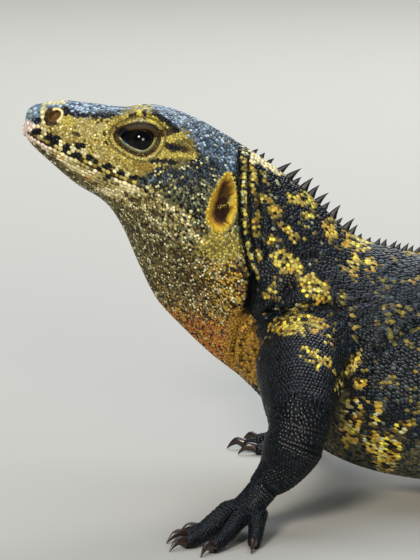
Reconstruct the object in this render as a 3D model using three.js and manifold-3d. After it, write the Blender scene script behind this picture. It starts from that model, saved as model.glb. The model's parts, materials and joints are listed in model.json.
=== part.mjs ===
// A black spiny-tailed iguana (Ctenosaura similis) at life size, propped on its forelegs with its head
// raised, the belly just off the floor and the tail laid behind it in a slow bend.
// Millimetres, +Z up. The snout points along -X, the left flank faces -Y and the floor is at Z = 0. The
// animal is drawn with its snout at X = 0 and its spine at Y = 0, and is centred over the floor at the end.
//
// The body is one loft of sections. Each section is an upright oval laid between a point of the back line
// and a point of the belly line, so that the planes fan out where the head turns up from the neck.
// Swellings raise the brows, jowls, shoulders and hips. Legs, digits and claws are tubes along curves.
// A thin gap parts neighbours.
import * as THREE from "three";
import { mergeVertices } from "three/addons/utils/BufferGeometryUtils.js";
import Module from "manifold-3d";

const wasm = await Module();
wasm.setup();

// Driving sizes, in millimetres.
const GAP = 0.35; // between neighbouring pieces
const FLOOR_SINK = 0.3; // how deep the pads and the tail are trimmed to lie flat on the floor

const EYE_AT = [43.9, 12, 136.7];
const EYE_RADIUS = 8;
const LID_OPENING = [15, 10.4]; // length and height
const LID_OPENING_DEPTH = 13; // from the middle of the eye out past the skin
const NOSTRIL_AT = [12.1, 8.6, 145.3];
const NOSTRIL_HALF = [2.5, 2.6, 1.7]; // half length, depth and height
const NOSTRIL_LEAN = THREE.MathUtils.degToRad(-34);
const EAR_AT = [74.2, 27.4, 114.6];
const EAR_HALF = [4.6, 5.2, 10.2];
const EARDRUM_HALF = [3.1, 0.9, 7.6];
const EARDRUM_DEPTH = 4.3; // from the middle of the ear's opening in to the drum
const EAR_LEAN = THREE.MathUtils.degToRad(12);

const TAIL_LENGTH = 534; // from the last body section
const TAIL_REACH = 510; // how far back it gets, bends and all
const TAIL_TAPER = 1.12; // power of the taper, where 1 is a straight cone
const TAIL_TIP_RADIUS = 1.1;
const TAIL_SWAY = 74; // how far it swings to each side
const TAIL_BENDS = 1.55; // half turns of that swing
const TAIL_STRAIGHT = 0.5; // share of its length over which the swing grows to its full size
const TAIL_DROP = 0.07; // share of its length within which it sinks to the floor
const TAIL_ROUNDS = 8; // its section turns from the body's oval to a circle in one part of this many
const WHORL_PITCH = [12.5, 7.5]; // between rings of spiny scales, at the base and at the tip
const WHORL_SPIKE = [3.4, 0.6]; // how far those rings stand out
const WHORL_CREST = 0.8; // where in a whorl its spikes stand out
const SMOOTH_PITCH = 3.4; // rings of the smooth lengths, counted in whorls

const SPINE_ROOT = 1.6; // of a crest spine, sunk in the skin
const SPINE_HALF = [2.1, 1.1]; // half length and thickness of its foot
const SPINE_LEAN = 0.55; // backwards, for each unit of height

const CLAW_LENGTH = 8.5;
const CLAW_BEND = 0.55; // where along the claw it turns down
const CLAW_RADII = [1.9, 1.5, 0.3]; // at its root, middle and point
const CLAW_POINT_HEIGHT = 0.55; // of its point's middle over the floor
const KNUCKLE_SPACING = 2.9; // between the roots of neighbouring digits
const KNUCKLE_DEPTH = 3; // from the end of the foot back to those roots
const DIGIT_JOINTS = [0.35, 0.72]; // where along a digit it bends
const DIGIT_ARCH = 2.4; // how high the first of those stands over a digit lying flat

const HEAD_SIDES = 20;
const HEAD_STEPS = 12;
const BODY_SIDES = 20;
const LEG_SIDES = 8;
const DIGIT_SIDES = 6;
const CLAW_SIDES = 4;
const EYE_FACETS = [10, 7]; // round the eye and down it
const ROUND_FACETS = [8, 6]; // of the other ellipsoids
const DOME_STEPS = [0.5, 0.8]; // rings of a tube's rounded end, as shares of its radius beyond it

// Sections from the lip of the snout to the tail's root: back line x and z, belly line x and z, half width
// near the back, at mid height and near the belly, and squareness, where 2 is an ellipse.
const SECTIONS = [
  [0.6, 142.6, 0.9, 136.4, 3, 4, 3, 2.0], // lip
  [2.2, 147.4, 2.8, 133.5, 7, 8, 6, 2.3], // nose
  [8, 149.6, 9, 127.6, 9.2, 10.6, 8.5, 2.5], // nostrils
  [20, 149.7, 19.5, 118.6, 11.8, 14, 11, 2.6], // muzzle
  [32, 148.7, 30, 111.9, 14.8, 17.4, 13, 2.6], // front of the eyes
  [44, 148.3, 36.5, 102.6, 17.5, 19.5, 11, 2.5], // eyes
  [56, 147.0, 43, 87.6, 18, 23.4, 9.5, 2.3], // temples
  [68, 141.8, 49.5, 74.6, 17, 26.4, 9, 2.1], // jowls
  [80, 134.8, 58.5, 64.6, 16, 26, 9, 2.0], // nape
  [92, 126.9, 70, 53.6, 15.5, 26, 9.5, 2.0], // neck
  [103, 118.6, 82, 44.1, 15.5, 29, 12, 2.0], // gular fold
  [112, 110.2, 96, 30, 16, 33, 18, 2.0], // front of the shoulders
  [123, 100, 115, 16, 18, 37, 27, 2.1], // shoulders
  [140, 94.6, 138, 8.5, 22, 41, 34, 2.2], // chest
  [170, 89.5, 170, 5.5, 27, 45.5, 40, 2.3], // ribs
  [210, 83.5, 211, 4.6, 28, 46.5, 41, 2.3], // belly
  [250, 75, 251, 5, 25, 41, 36, 2.2], // flank
  [290, 65, 290, 7.5, 20, 31, 27, 2.1], // hips
  [318, 53, 316, 7, 16, 23, 20, 2.05], // vent
  [344, 43, 344, 4.5, 14.5, 18.5, 15, 2.0], // tail's root
];
const TAIL_START = SECTIONS.length - 1;

// Swellings on each side: centre, half sizes of the soft ellipsoid that is raised, and height.
const SWELLINGS = [
  { at: [51, 13.5, 149], size: [10, 6.5, 7], out: 3.2 }, // brow
  { at: [36, 12.5, 148], size: [9, 5, 5], out: 1.2 }, // front of the brow
  { at: [15, 6.5, 149], size: [5, 4.5, 5], out: 1.1 }, // nostril
  { at: [43, 18, 133], size: [11, 8, 8.5], out: 1.3 }, // eyelids
  { at: [64, 27, 113], size: [13, 10, 14], out: 3.2 }, // jowl
  { at: [66, 15, 139], size: [12, 9, 8], out: 1.6 }, // jaw muscle behind the brow
  { at: [114, 36, 72], size: [18, 14, 22], out: 4.2 }, // shoulder
  { at: [298, 29, 46], size: [20, 12, 17], out: 3.4 }, // hip
];

// Where the body is parted, as stations along SECTIONS, and the steps of each length.
const HEAD_END = 8.7;
const BODY_PARTS = [
  { name: "neck", end: 11.1, steps: 6 },
  { name: "chest", end: 13.6, steps: 5 },
  { name: "belly", end: 15.9, steps: 4 },
  { name: "pelvis", end: TAIL_START, steps: 6 },
];
const BODY_ROOM_STEPS = 21; // of the whole body, where the legs are cut clear of it

// Where the tail is parted, as shares of its length.
const TAIL_PARTS = [
  { name: "tail_base", end: 0.21, sides: 8, whorled: true },
  { name: "tail_front", end: 0.43, sides: 8, whorled: true },
  { name: "tail_rear", end: 0.7, sides: 8, whorled: false },
  { name: "tail_tip", end: 1, sides: 8, whorled: false },
];

// Cuts in the head, seen from the side, x and z: the mouth and on to the nape, and the jaw's lower edge.
const MOUTH_LINE = [
  [-4, 134.6], [5.3, 134.2], [20.3, 127.4], [31, 122.1], [46, 116.4], [58, 110], [66, 102], [90, 97],
];
const JAW_EDGE = [[67, 101.7], [60, 98], [48, 103.5], [36, 110], [26, 109]];

// Stretches of the crest: stations they run between, heights at both ends and spacing.
const CREST = [
  { from: 8.75, to: 9.3, height: [1.8, 2.4], pitch: 3 }, // nape
  { from: 9.3, to: 11.9, height: [4.8, 5.4], pitch: 3.4 }, // neck
  { from: 11.9, to: 14, height: [2.2, 2.8], pitch: 3.6 }, // shoulders
  { from: 14, to: 18, height: [2.8, 1.8], pitch: 5.6 }, // back
];
const CREST_CLEARANCE = 0.2; // stations kept free of spines at each end of a body length

// Legs: rows of centre, half width and half thickness. The upper leg ends in the elbow or knee, the lower
// leg in the wrist or ankle, and the foot at the knuckles. heading turns the foot outwards from straight
// ahead.
const LEGS = [
  {
    name: "fore_left",
    side: -1,
    heading: 38,
    foot: "fore",
    rows: {
      upper: [
        [108, -16, 62, 19, 19], [104, -36, 57, 18.5, 18.5],
        [102, -54, 49, 14.5, 15.5], [102, -66, 42.5, 12.4, 12.6],
      ],
      lower: [
        [101.5, -66, 41, 11.4, 11.4], [99.5, -67, 34, 12.2, 12],
        [95, -67, 25, 8.6, 8.8], [89.5, -67, 19, 6.2, 6.2],
      ],
      foot: [[89.5, -67, 18.5, 5.6, 5.8], [85.5, -69, 14, 7, 5.2], [81, -71, 9.8, 8.4, 4.4]],
    },
  },
  {
    name: "fore_right",
    side: 1,
    heading: 12,
    foot: "fore",
    rows: {
      upper: [
        [112, 16, 62, 19, 19], [117, 36, 57, 18.5, 18.5],
        [124, 54, 49, 15, 15.5], [130, 66, 42.5, 12.4, 12.6],
      ],
      lower: [
        [130, 67, 41, 11.4, 11.4], [127, 70, 34, 12.2, 12],
        [122, 73, 25, 8.6, 8.8], [118, 75, 18.5, 6.2, 6.2],
      ],
      foot: [[118, 75, 18, 5.6, 5.8], [114, 76, 13.5, 7, 5.2], [109, 77.5, 9.5, 8.4, 4.4]],
    },
  },
  {
    name: "hind_left",
    side: -1,
    heading: 26,
    foot: "hind",
    rows: {
      upper: [
        [303, -11, 36, 18, 15], [295, -32, 40, 18, 17],
        [282, -52, 41, 15, 15.5], [271, -69, 38, 12, 12.6],
      ],
      lower: [
        [271, -71, 36, 11.6, 12.2], [281, -76, 29, 11.4, 12],
        [293, -80, 21, 8.2, 8.6], [303, -82, 13.5, 6.6, 6.8],
      ],
      foot: [[302, -83, 11, 6.2, 6.2], [292, -87, 9, 7.4, 5.4], [281, -92, 8, 8.8, 4.6]],
    },
  },
  {
    name: "hind_right",
    side: 1,
    heading: 34,
    foot: "hind",
    rows: {
      upper: [
        [303, 11, 36, 18, 15], [298, 32, 40, 18, 17],
        [288, 52, 41, 15, 15.5], [279, 69, 38, 12, 12.6],
      ],
      lower: [
        [279, 71, 36, 11.6, 12.2], [290, 77, 29, 11.4, 12],
        [303, 82, 21, 8.2, 8.6], [314, 85, 13.5, 6.6, 6.8],
      ],
      foot: [[313, 86, 11, 6.2, 6.2], [304, 91, 9, 7.4, 5.4], [294, 97, 8, 8.8, 4.6]],
    },
  },
];
const LENGTH_NAMES = {
  fore: { upper: "upper_arm", lower: "forearm", foot: "hand" },
  hind: { upper: "thigh", lower: "shank", foot: "foot" },
};

// Digits one to five: angle out from the foot's heading, reach past the knuckles, and radii at root and tip.
const DIGITS = {
  fore: { spread: [-54, -22, 2, 28, 66], reach: [15, 20, 25, 25, 17], radii: [3.4, 2.5] },
  hind: { spread: [-38, -17, 0, 14, 62], reach: [16, 26, 38, 49, 25], radii: [3.6, 2.5] },
};

// ---------------------------------------------------------------------------------------------- shapes

const { clamp, degToRad, lerp, smoothstep } = THREE.MathUtils;

// Numbers from one value to another in equal steps, both ends included.
const evenly = (from, to, steps) => Array.from({ length: steps + 1 }, (_, i) => lerp(from, to, i / steps));

// What lies between rows of numbers, on a uniform Catmull-Rom curve, at a station counted in rows.
function rowAt(rows, station) {
  const last = rows.length - 1;
  const i = clamp(Math.floor(station), 0, last - 1);
  const t = station - i;
  const [a, b, c, d] = [i - 1, i, i + 1, i + 2].map((k) => rows[clamp(k, 0, last)]);
  return b.map((_, k) => {
    const [p, q, r, s] = [a[k], b[k], c[k], d[k]];
    return q + 0.5 * t * (r - p + t * (2 * p - 5 * q + 4 * r - s + t * (3 * (q - r) + s - p)));
  });
}

// A section of the body: its back and belly points, its centre and axes, half height, half widths and
// squareness.
function bodySection(station) {
  const [backX, backZ, bellyX, bellyZ, nearBack, middle, nearBelly, squareness] = rowAt(SECTIONS, station);
  const back = new THREE.Vector3(backX, 0, backZ);
  const belly = new THREE.Vector3(bellyX, 0, bellyZ);
  return {
    back,
    belly,
    centre: back.clone().add(belly).multiplyScalar(0.5),
    up: back.clone().sub(belly).normalize(),
    side: new THREE.Vector3(0, -1, 0),
    half: back.distanceTo(belly) / 2,
    widths: [nearBack, middle, nearBelly],
    squareness,
  };
}

const tailRoot = bodySection(TAIL_START);

// A point of the tail's middle line: it sinks to the floor while it swings from side to side.
function tailMiddle(share, radius) {
  const sway = -TAIL_SWAY * Math.sin(Math.PI * TAIL_BENDS * share) * smoothstep(share, 0, TAIL_STRAIGHT);
  const lift = (tailRoot.belly.z + FLOOR_SINK) * Math.exp(-Math.pow(share / TAIL_DROP, 2));
  return new THREE.Vector3(tailRoot.centre.x + TAIL_REACH * share, sway, radius - FLOOR_SINK + lift);
}

// A section of the tail at a share of its length, standing out by the spike of a whorl.
function tailSection(share, spike) {
  const radius = (tailRoot.half - TAIL_TIP_RADIUS) * Math.pow(1 - share, TAIL_TAPER) + TAIL_TIP_RADIUS;
  const step = 1e-3;
  const ahead = tailMiddle(share + step, 0).sub(tailMiddle(share - step, 0)).setZ(0).normalize();
  const roundness = lerp(tailRoot.widths[1] / tailRoot.half, 1, clamp(share * TAIL_ROUNDS, 0, 1));
  const width = roundness * radius + spike;
  return {
    centre: tailMiddle(share, radius),
    up: new THREE.Vector3(0, 0, 1),
    side: new THREE.Vector3(ahead.y, -ahead.x, 0),
    half: radius + spike,
    widths: [width, width, width],
    squareness: 2,
  };
}

// How far the swellings push a point out.
function swellingAt(p) {
  return SWELLINGS.reduce((sum, { at, size, out }) => {
    const [dx, dy, dz] = [p.x - at[0], Math.abs(p.y) - at[1], p.z - at[2]].map((d, k) => d / size[k]);
    return sum + out * Math.exp(-(dx * dx + dy * dy + dz * dz));
  }, 0);
}

// The points of a section: a squared oval whose width changes from back to belly on a parabola.
function outlineOf({ centre, up, side, half, widths, squareness }, sides) {
  const squared = (v) => Math.sign(v) * Math.pow(Math.abs(v), 2 / squareness);
  return Array.from({ length: sides }, (_, k) => {
    const angle = (2 * Math.PI * k) / sides;
    const rise = squared(Math.cos(angle));
    const f = (1 - rise) / 2;
    const shares = [(1 - f) * (1 - 2 * f), 4 * f * (1 - f), f * (2 * f - 1)];
    const width = shares.reduce((sum, share, i) => sum + share * widths[i], 0) * squared(Math.sin(angle));
    return centre.clone().addScaledVector(up, half * rise).addScaledVector(side, width);
  });
}

// A closed geometry through rings of points, each end closed by a fan.
function loft(rings) {
  const sides = rings[0].length;
  const middleOf = (ring) => ring.reduce((sum, p) => sum.add(p), new THREE.Vector3()).divideScalar(sides);
  const points = [...rings.flat(), middleOf(rings[0]), middleOf(rings.at(-1))];
  const [firstMiddle, lastMiddle] = [points.length - 2, points.length - 1];
  const lastRing = (rings.length - 1) * sides;
  const faces = [];
  for (let k = 0; k < sides; k++) {
    const n = (k + 1) % sides;
    for (let row = 0; row < lastRing; row += sides) {
      faces.push(row + k, row + n, row + sides + n, row + k, row + sides + n, row + sides + k);
    }
    faces.push(firstMiddle, n, k, lastMiddle, lastRing + k, lastRing + n);
  }
  return new THREE.BufferGeometry().setFromPoints(points).setIndex(faces);
}

// A closed geometry as a manifold-3d solid, turned the right way out.
function solidOf(geometry) {
  const bare = new THREE.BufferGeometry();
  bare.setAttribute("position", geometry.attributes.position);
  bare.setIndex(geometry.index);
  const merged = mergeVertices(bare, 1e-4);
  const triVerts = new Uint32Array(merged.index.array);
  const vertProperties = new Float32Array(merged.attributes.position.array);
  const solid = new wasm.Manifold(new wasm.Mesh({ numProp: 3, vertProperties, triVerts }));
  if (solid.volume() > 0) return solid;
  triVerts.reverse();
  return new wasm.Manifold(new wasm.Mesh({ numProp: 3, vertProperties, triVerts }));
}

function geometryOf(solid) {
  const mesh = solid.getMesh();
  const geometry = new THREE.BufferGeometry();
  geometry.setAttribute("position", new THREE.BufferAttribute(new Float32Array(mesh.vertProperties), 3));
  geometry.setIndex(new THREE.BufferAttribute(new Uint32Array(mesh.triVerts), 1));
  return geometry;
}

const union = (solids) => solids.reduce((a, b) => a.add(b));
const bySize = (solids) => solids.sort((a, b) => b.volume() - a.volume());

// What is left of a solid once others are taken away, without loose slivers.
const cutClear = (solid, ...others) => bySize(others.reduce((a, b) => a.subtract(b), solid).decompose())[0];

function ellipsoid([x, y, z], [halfX, halfY, halfZ], lean = 0, facets = ROUND_FACETS) {
  const geometry = new THREE.SphereGeometry(1, ...facets);
  geometry.scale(halfX, halfY, halfZ).rotateY(lean).translate(x, y, z);
  return solidOf(geometry);
}

// A tube along rows of [x, y, z, half width, half thickness], with a ring at each of the given stations. Its
// width lies level and square to its path. A rounded tube ends in a dome.
function tube(rows, stations, sides, rounded = false) {
  const rings = stations.map((station) => ({ station, beyond: 0 }));
  if (rounded) rings.push(...DOME_STEPS.map((beyond) => ({ station: stations.at(-1), beyond })));
  const points = rings.map(({ station, beyond }) => {
    const [x, y, z, halfWidth, halfThickness] = rowAt(rows, station);
    const step = 0.02;
    const before = new THREE.Vector3(...rowAt(rows, station - step));
    const ahead = new THREE.Vector3(...rowAt(rows, station + step)).sub(before).normalize();
    const side = new THREE.Vector3(-ahead.y, ahead.x, 0).normalize();
    const up = side.clone().cross(ahead);
    const shrink = Math.sqrt(1 - beyond * beyond);
    const centre = new THREE.Vector3(x, y, z).addScaledVector(ahead, beyond * halfThickness);
    const widths = Array(3).fill(shrink * halfWidth);
    return outlineOf({ centre, up, side, half: shrink * halfThickness, widths, squareness: 2 }, sides);
  });
  return solidOf(loft(points));
}

// A thin wall right through the head along a line drawn in side view, which parts it there.
function wallAlong(line) {
  const edge = (offset) => line.map(([x, z], i) => {
    const [before, after] = [line[Math.max(i - 1, 0)], line[Math.min(i + 1, line.length - 1)]];
    const along = new THREE.Vector2(after[0] - before[0], after[1] - before[1]).normalize();
    return new THREE.Vector2(x - along.y * offset, z + along.x * offset);
  });
  const sheet = new THREE.Shape([...edge(GAP / 2), ...edge(-GAP / 2).reverse()]);
  const depth = 140; // wider than the head
  const geometry = new THREE.ExtrudeGeometry(sheet, { depth, bevelEnabled: false });
  return solidOf(geometry.translate(0, 0, -depth / 2).rotateX(Math.PI / 2));
}

// A stretch of the body between two stations, swollen, and grown by a margin where one is given.
function bodyLength(from, to, steps, sides, margin = 0) {
  const rings = evenly(from, to, steps).map((station) => {
    const section = bodySection(station);
    return outlineOf(section, sides).map((point) => {
      const outwards = point.clone().sub(section.centre).normalize();
      return point.addScaledVector(outwards, margin + swellingAt(point));
    });
  });
  return solidOf(loft(rings));
}

const FLOOR_SIZE = [2400, 1200, 100];
const floorBlock = solidOf(new THREE.BoxGeometry(...FLOOR_SIZE).translate(0, 0, -FLOOR_SIZE[2] / 2));
const onFloor = (solid) => solid.subtract(floorBlock);

// ---------------------------------------------------------------------------------------------- pieces

const material = (color, roughness = 0.6) =>
  new THREE.MeshStandardMaterial({ color, roughness, metalness: 0 });
const materials = {
  head: material(0x4c5560),
  jaw: material(0x9c8b58),
  throat: material(0x9a7438),
  body: material(0x2b2c28),
  leg: material(0x17191c),
  tail: material(0x2e2d26),
  eye: material(0x0b0a08, 0.08),
  ear: material(0x9a6a1e, 0.5),
  claw: material(0x2a1a12, 0.3),
};

const animal = new THREE.Group();

function addPiece(name, solid, itsMaterial) {
  const mesh = new THREE.Mesh(geometryOf(solid), itsMaterial);
  mesh.name = name;
  animal.add(mesh);
}

// Head, lower jaw and throat are one solid, parted by the mouth and by the jaw's edge. Eyes and eardrums lie
// in hollows of it.
function makeHead() {
  let head = bodyLength(0, HEAD_END, HEAD_STEPS, HEAD_SIDES);
  for (const [name, side] of [["left", -1], ["right", 1]]) {
    const onSide = ([x, y, z]) => [x, y * side, z];
    const [eye, ear] = [onSide(EYE_AT), onSide(EAR_AT)];
    const drum = [ear[0], ear[1] - side * EARDRUM_DEPTH, ear[2]];
    addPiece(`eye_${name}`, ellipsoid(eye, Array(3).fill(EYE_RADIUS), 0, EYE_FACETS), materials.eye);
    addPiece(`ear_${name}`, ellipsoid(drum, EARDRUM_HALF, EAR_LEAN), materials.ear);
    const hollows = [
      ellipsoid(eye, Array(3).fill(EYE_RADIUS + GAP), 0, EYE_FACETS),
      ellipsoid(eye, [LID_OPENING[0] / 2, LID_OPENING_DEPTH, LID_OPENING[1] / 2]),
      ellipsoid(onSide(NOSTRIL_AT), NOSTRIL_HALF, NOSTRIL_LEAN),
      ellipsoid(ear, EAR_HALF, EAR_LEAN),
      ellipsoid(drum, EARDRUM_HALF.map((half) => half + GAP), EAR_LEAN),
    ];
    head = hollows.reduce((solid, hollow) => solid.subtract(hollow), head);
  }
  const parted = [MOUTH_LINE, JAW_EDGE].reduce((solid, line) => solid.subtract(wallAlong(line)), head);
  const lowest = (solid) => solid.boundingBox().min[2];
  const [skull, jaw, throat] = bySize(parted.decompose()).slice(0, 3).sort((a, b) => lowest(b) - lowest(a));
  addPiece("head", skull, materials.head);
  addPiece("lower_jaw", jaw, materials.jaw);
  addPiece("throat", throat, materials.throat);
}

// One crest spine: a flat four-sided spike that leans back, its foot sunk in the skin.
function spine(station, height) {
  const { back, up, side } = bodySection(station);
  const length = height + SPINE_ROOT;
  const backwards = new THREE.Vector3().crossVectors(up, side);
  const lean = up.clone().addScaledVector(backwards, SPINE_LEAN).normalize();
  const across = new THREE.Vector3().crossVectors(lean, side).normalize();
  const spike = new THREE.ConeGeometry(1, length, 4);
  spike.scale(SPINE_HALF[0], 1, SPINE_HALF[1]).translate(0, length / 2 - SPINE_ROOT, 0);
  spike.applyMatrix4(new THREE.Matrix4().makeBasis(across, lean, across.clone().cross(lean)));
  return solidOf(spike.translate(back.x, back.y, back.z));
}

// The crest spines whose feet lie between two stations.
function spinesBetween(from, to) {
  const made = [];
  for (const stretch of CREST) {
    let station = stretch.from;
    while (station < stretch.to) {
      const share = (station - stretch.from) / (stretch.to - stretch.from);
      const clear = station > from + CREST_CLEARANCE && station < to - CREST_CLEARANCE;
      if (clear) made.push(spine(station, lerp(...stretch.height, share)));
      const step = 0.05;
      const lengthOfStep = bodySection(station).back.distanceTo(bodySection(station + step).back);
      station += (step * stretch.pitch) / lengthOfStep;
    }
  }
  return made;
}

// The station past a cut where the next piece starts, so that both lines of the body keep the gap.
function pastGap(station) {
  const step = 0.01;
  const [here, next] = [bodySection(station), bodySection(station + step)];
  const advance = Math.min(here.back.distanceTo(next.back), here.belly.distanceTo(next.belly));
  return station + (step * GAP) / advance;
}

// Neck, chest, belly and pelvis, each with its part of the crest.
function makeBody() {
  let cut = HEAD_END;
  for (const { name, end, steps } of BODY_PARTS) {
    const start = pastGap(cut);
    const length = bodyLength(start, end, steps, BODY_SIDES);
    addPiece(name, union([length, ...spinesBetween(start, end)]), materials.body);
    cut = end;
  }
}

// The tail. Whorls of spiny scales stand out as saw teeth on its first two lengths, and the last two run
// smooth.
function makeTail() {
  let cut = 0;
  for (const { name, end, sides, whorled } of TAIL_PARTS) {
    const start = cut + (2 * GAP) / TAIL_LENGTH;
    const pitch = (lerp(...WHORL_PITCH, start) / TAIL_LENGTH) * (whorled ? 1 : SMOOTH_PITCH);
    const count = Math.round((end - start) / pitch);
    const spike = lerp(...WHORL_SPIKE, Math.sqrt(start));
    const sections = evenly(0, count - 1, count - 1).flatMap((k) => {
      const valley = tailSection(lerp(start, end, k / count), 0);
      const crest = tailSection(lerp(start, end, (k + WHORL_CREST) / count), spike);
      return whorled ? [valley, crest] : [valley];
    });
    const rings = [...sections, tailSection(end, 0)].map((section) => outlineOf(section, sides));
    addPiece(name, onFloor(solidOf(loft(rings))), materials.tail);
    cut = end;
  }
}

// A digit and its claw follow one path: over the joints, down to the tip, and on down the claw.
function makeDigit(root, tip, [thick, thin], clawName) {
  const onward = tip.clone().sub(root).setZ(0).normalize();
  const along = (share, z) => [lerp(root.x, tip.x, share), lerp(root.y, tip.y, share), z];
  const beyond = (share, z) => {
    const reach = share * CLAW_LENGTH;
    return [tip.x + onward.x * reach, tip.y + onward.y * reach, z];
  };
  const path = [
    along(0, root.z),
    along(DIGIT_JOINTS[0], Math.max(root.z * 0.9, thick + DIGIT_ARCH)),
    along(DIGIT_JOINTS[1], thick + 0.9),
    along(1, tip.z),
    beyond(CLAW_BEND, tip.z + 0.4),
    beyond(1, CLAW_POINT_HEIGHT),
  ];
  const withRadii = (radii) => path.map((row, i) => [...row, radii[i], radii[i]]);
  const clawStart = 3 + GAP / (CLAW_LENGTH * CLAW_BEND);
  const claw = tube(withRadii([0, 0, 0, ...CLAW_RADII]), evenly(clawStart, 5, 3), CLAW_SIDES);
  addPiece(clawName, claw, materials.claw);
  const radii = [thick, thick, lerp(thick, thin, 0.6), thin, thin, thin];
  return tube(withRadii(radii), evenly(0, 3, 3), DIGIT_SIDES);
}

// The five digits of a foot, fanned out from its end at [x, y, z].
function makeDigits([x, y, z], { name, side, heading, foot }) {
  const { spread, reach, radii } = DIGITS[foot];
  const ahead = new THREE.Vector3(-Math.cos(degToRad(heading)), side * Math.sin(degToRad(heading)), 0);
  const outwards = new THREE.Vector3(Math.sin(degToRad(heading)), side * Math.cos(degToRad(heading)), 0);
  const knuckles = new THREE.Vector3(x, y, z);
  return spread.map((angle, i) => {
    const turn = degToRad(angle);
    const root = knuckles.clone().addScaledVector(outwards, (i - 2) * KNUCKLE_SPACING);
    root.addScaledVector(ahead, -KNUCKLE_DEPTH);
    const tip = knuckles.clone().addScaledVector(ahead, reach[i] * Math.cos(turn));
    tip.addScaledVector(outwards, reach[i] * Math.sin(turn)).setZ(radii[1] - FLOOR_SINK);
    return makeDigit(root, tip, radii, `claw_${name}_${i + 1}`);
  });
}

// One leg: upper and lower leg, foot with its digits, and claws. The lower leg makes room for the elbow
// or knee, and the foot for the wrist or ankle.
function makeLeg(leg, bodyRoom) {
  const limb = (rows, steps, margin = 0) => {
    const grown = rows.map(([x, y, z, width, thickness]) => [x, y, z, width + margin, thickness + margin]);
    return tube(grown, evenly(0, rows.length - 1, steps), LEG_SIDES, true);
  };
  const { upper, lower, foot } = leg.rows;
  const names = LENGTH_NAMES[leg.foot];
  const wholeFoot = union([limb(foot, 2), ...makeDigits(foot.at(-1), leg)]);
  const lowerLeg = cutClear(limb(lower, 4), bodyRoom, limb(upper, 4, GAP));
  addPiece(`${names.upper}_${leg.name}`, cutClear(limb(upper, 4), bodyRoom), materials.leg);
  addPiece(`${names.lower}_${leg.name}`, lowerLeg, materials.leg);
  addPiece(`${names.foot}_${leg.name}`, onFloor(cutClear(wholeFoot, limb(lower, 4, GAP))), materials.leg);
}

makeHead();
makeBody();
makeTail();
const bodyRoom = bodyLength(HEAD_END, TAIL_START, BODY_ROOM_STEPS, BODY_SIDES, GAP);
LEGS.forEach((leg) => makeLeg(leg, bodyRoom));

const middle = new THREE.Box3().setFromObject(animal).getCenter(new THREE.Vector3());
animal.position.set(-middle.x, -middle.y, 0);

export default animal;
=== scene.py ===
"""A black spiny-tailed iguana: skin, scales, crest, claws, eardrums and eyes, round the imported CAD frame.

Lengths in the tables are millimetres as the animal is drawn: X grows from snout to tail, the spine lies at
Y 0 with the animal's left towards -Y, and the floor is Z 0. place() carries drawn points into the frame.
"""

import functools
import json
import math

import bpy
import numpy as np
from bpy.props import FloatProperty, FloatVectorProperty, PointerProperty
from bpy.types import Operator, Panel, PropertyGroup
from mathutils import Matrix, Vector
from mathutils.bvhtree import BVHTree

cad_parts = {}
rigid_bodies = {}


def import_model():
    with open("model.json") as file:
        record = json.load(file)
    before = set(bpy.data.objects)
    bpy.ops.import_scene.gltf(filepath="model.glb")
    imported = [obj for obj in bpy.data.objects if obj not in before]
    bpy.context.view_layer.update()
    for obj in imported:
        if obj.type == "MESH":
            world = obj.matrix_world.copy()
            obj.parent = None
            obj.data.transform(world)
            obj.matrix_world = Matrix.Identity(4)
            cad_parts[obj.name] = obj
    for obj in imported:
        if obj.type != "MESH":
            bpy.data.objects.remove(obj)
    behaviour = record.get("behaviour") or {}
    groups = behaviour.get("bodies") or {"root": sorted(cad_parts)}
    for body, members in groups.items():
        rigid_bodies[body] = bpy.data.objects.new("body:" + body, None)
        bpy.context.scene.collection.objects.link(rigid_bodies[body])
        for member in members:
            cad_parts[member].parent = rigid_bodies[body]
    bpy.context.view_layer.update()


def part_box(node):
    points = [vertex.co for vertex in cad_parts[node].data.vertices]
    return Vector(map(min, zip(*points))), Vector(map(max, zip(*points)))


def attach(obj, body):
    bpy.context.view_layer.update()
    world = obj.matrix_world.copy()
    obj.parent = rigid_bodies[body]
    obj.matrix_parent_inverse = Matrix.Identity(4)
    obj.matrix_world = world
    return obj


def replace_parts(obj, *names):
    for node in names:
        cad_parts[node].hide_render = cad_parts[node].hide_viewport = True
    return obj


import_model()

bl_info = {
    "name": "Black Spiny-Tailed Iguana",
    "version": (1, 0, 0),
    "blender": (4, 5, 0),
    "location": "View3D > Sidebar > Iguana",
    "description": "Builds a still, life-size spiny-tailed iguana round its CAD frame",
    "category": "Object",
}

MM = 0.001
TURN = 2 * math.pi
FAR = 99  # stands for a distance where it doesn't matter


# -------------------- what a user may change


def tone(hexadecimal):
    """A colour written as sRGB hex, as linear red, green and blue."""
    srgb = np.array([int(hexadecimal[k:k + 2], 16) / 255 for k in (1, 3, 5)])
    return np.where(srgb <= 0.04045, srgb / 12.92, ((srgb + 0.055) / 1.055) ** 2.4)


def colour_choice(label, hexadecimal, description):
    """A colour to choose, whose default is written as sRGB hex."""
    settings = {"subtype": "COLOR", "min": 0, "max": 1, "default": tuple(tone(hexadecimal))}
    return FloatVectorProperty(name=label, description=description, **settings)


def length_choice(label, millimetres, description):
    """A length to choose, whose default is written in millimetres."""
    settings = {"unit": "LENGTH", "min": 0, "precision": 5, "default": millimetres * MM}
    return FloatProperty(name=label, description=description, **settings)


def angle_choice(label, degrees, description):
    """An angle to choose, whose default is written in degrees."""
    settings = {"subtype": "ANGLE", "min": 0, "default": math.radians(degrees)}
    return FloatProperty(name=label, description=description, **settings)


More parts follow.
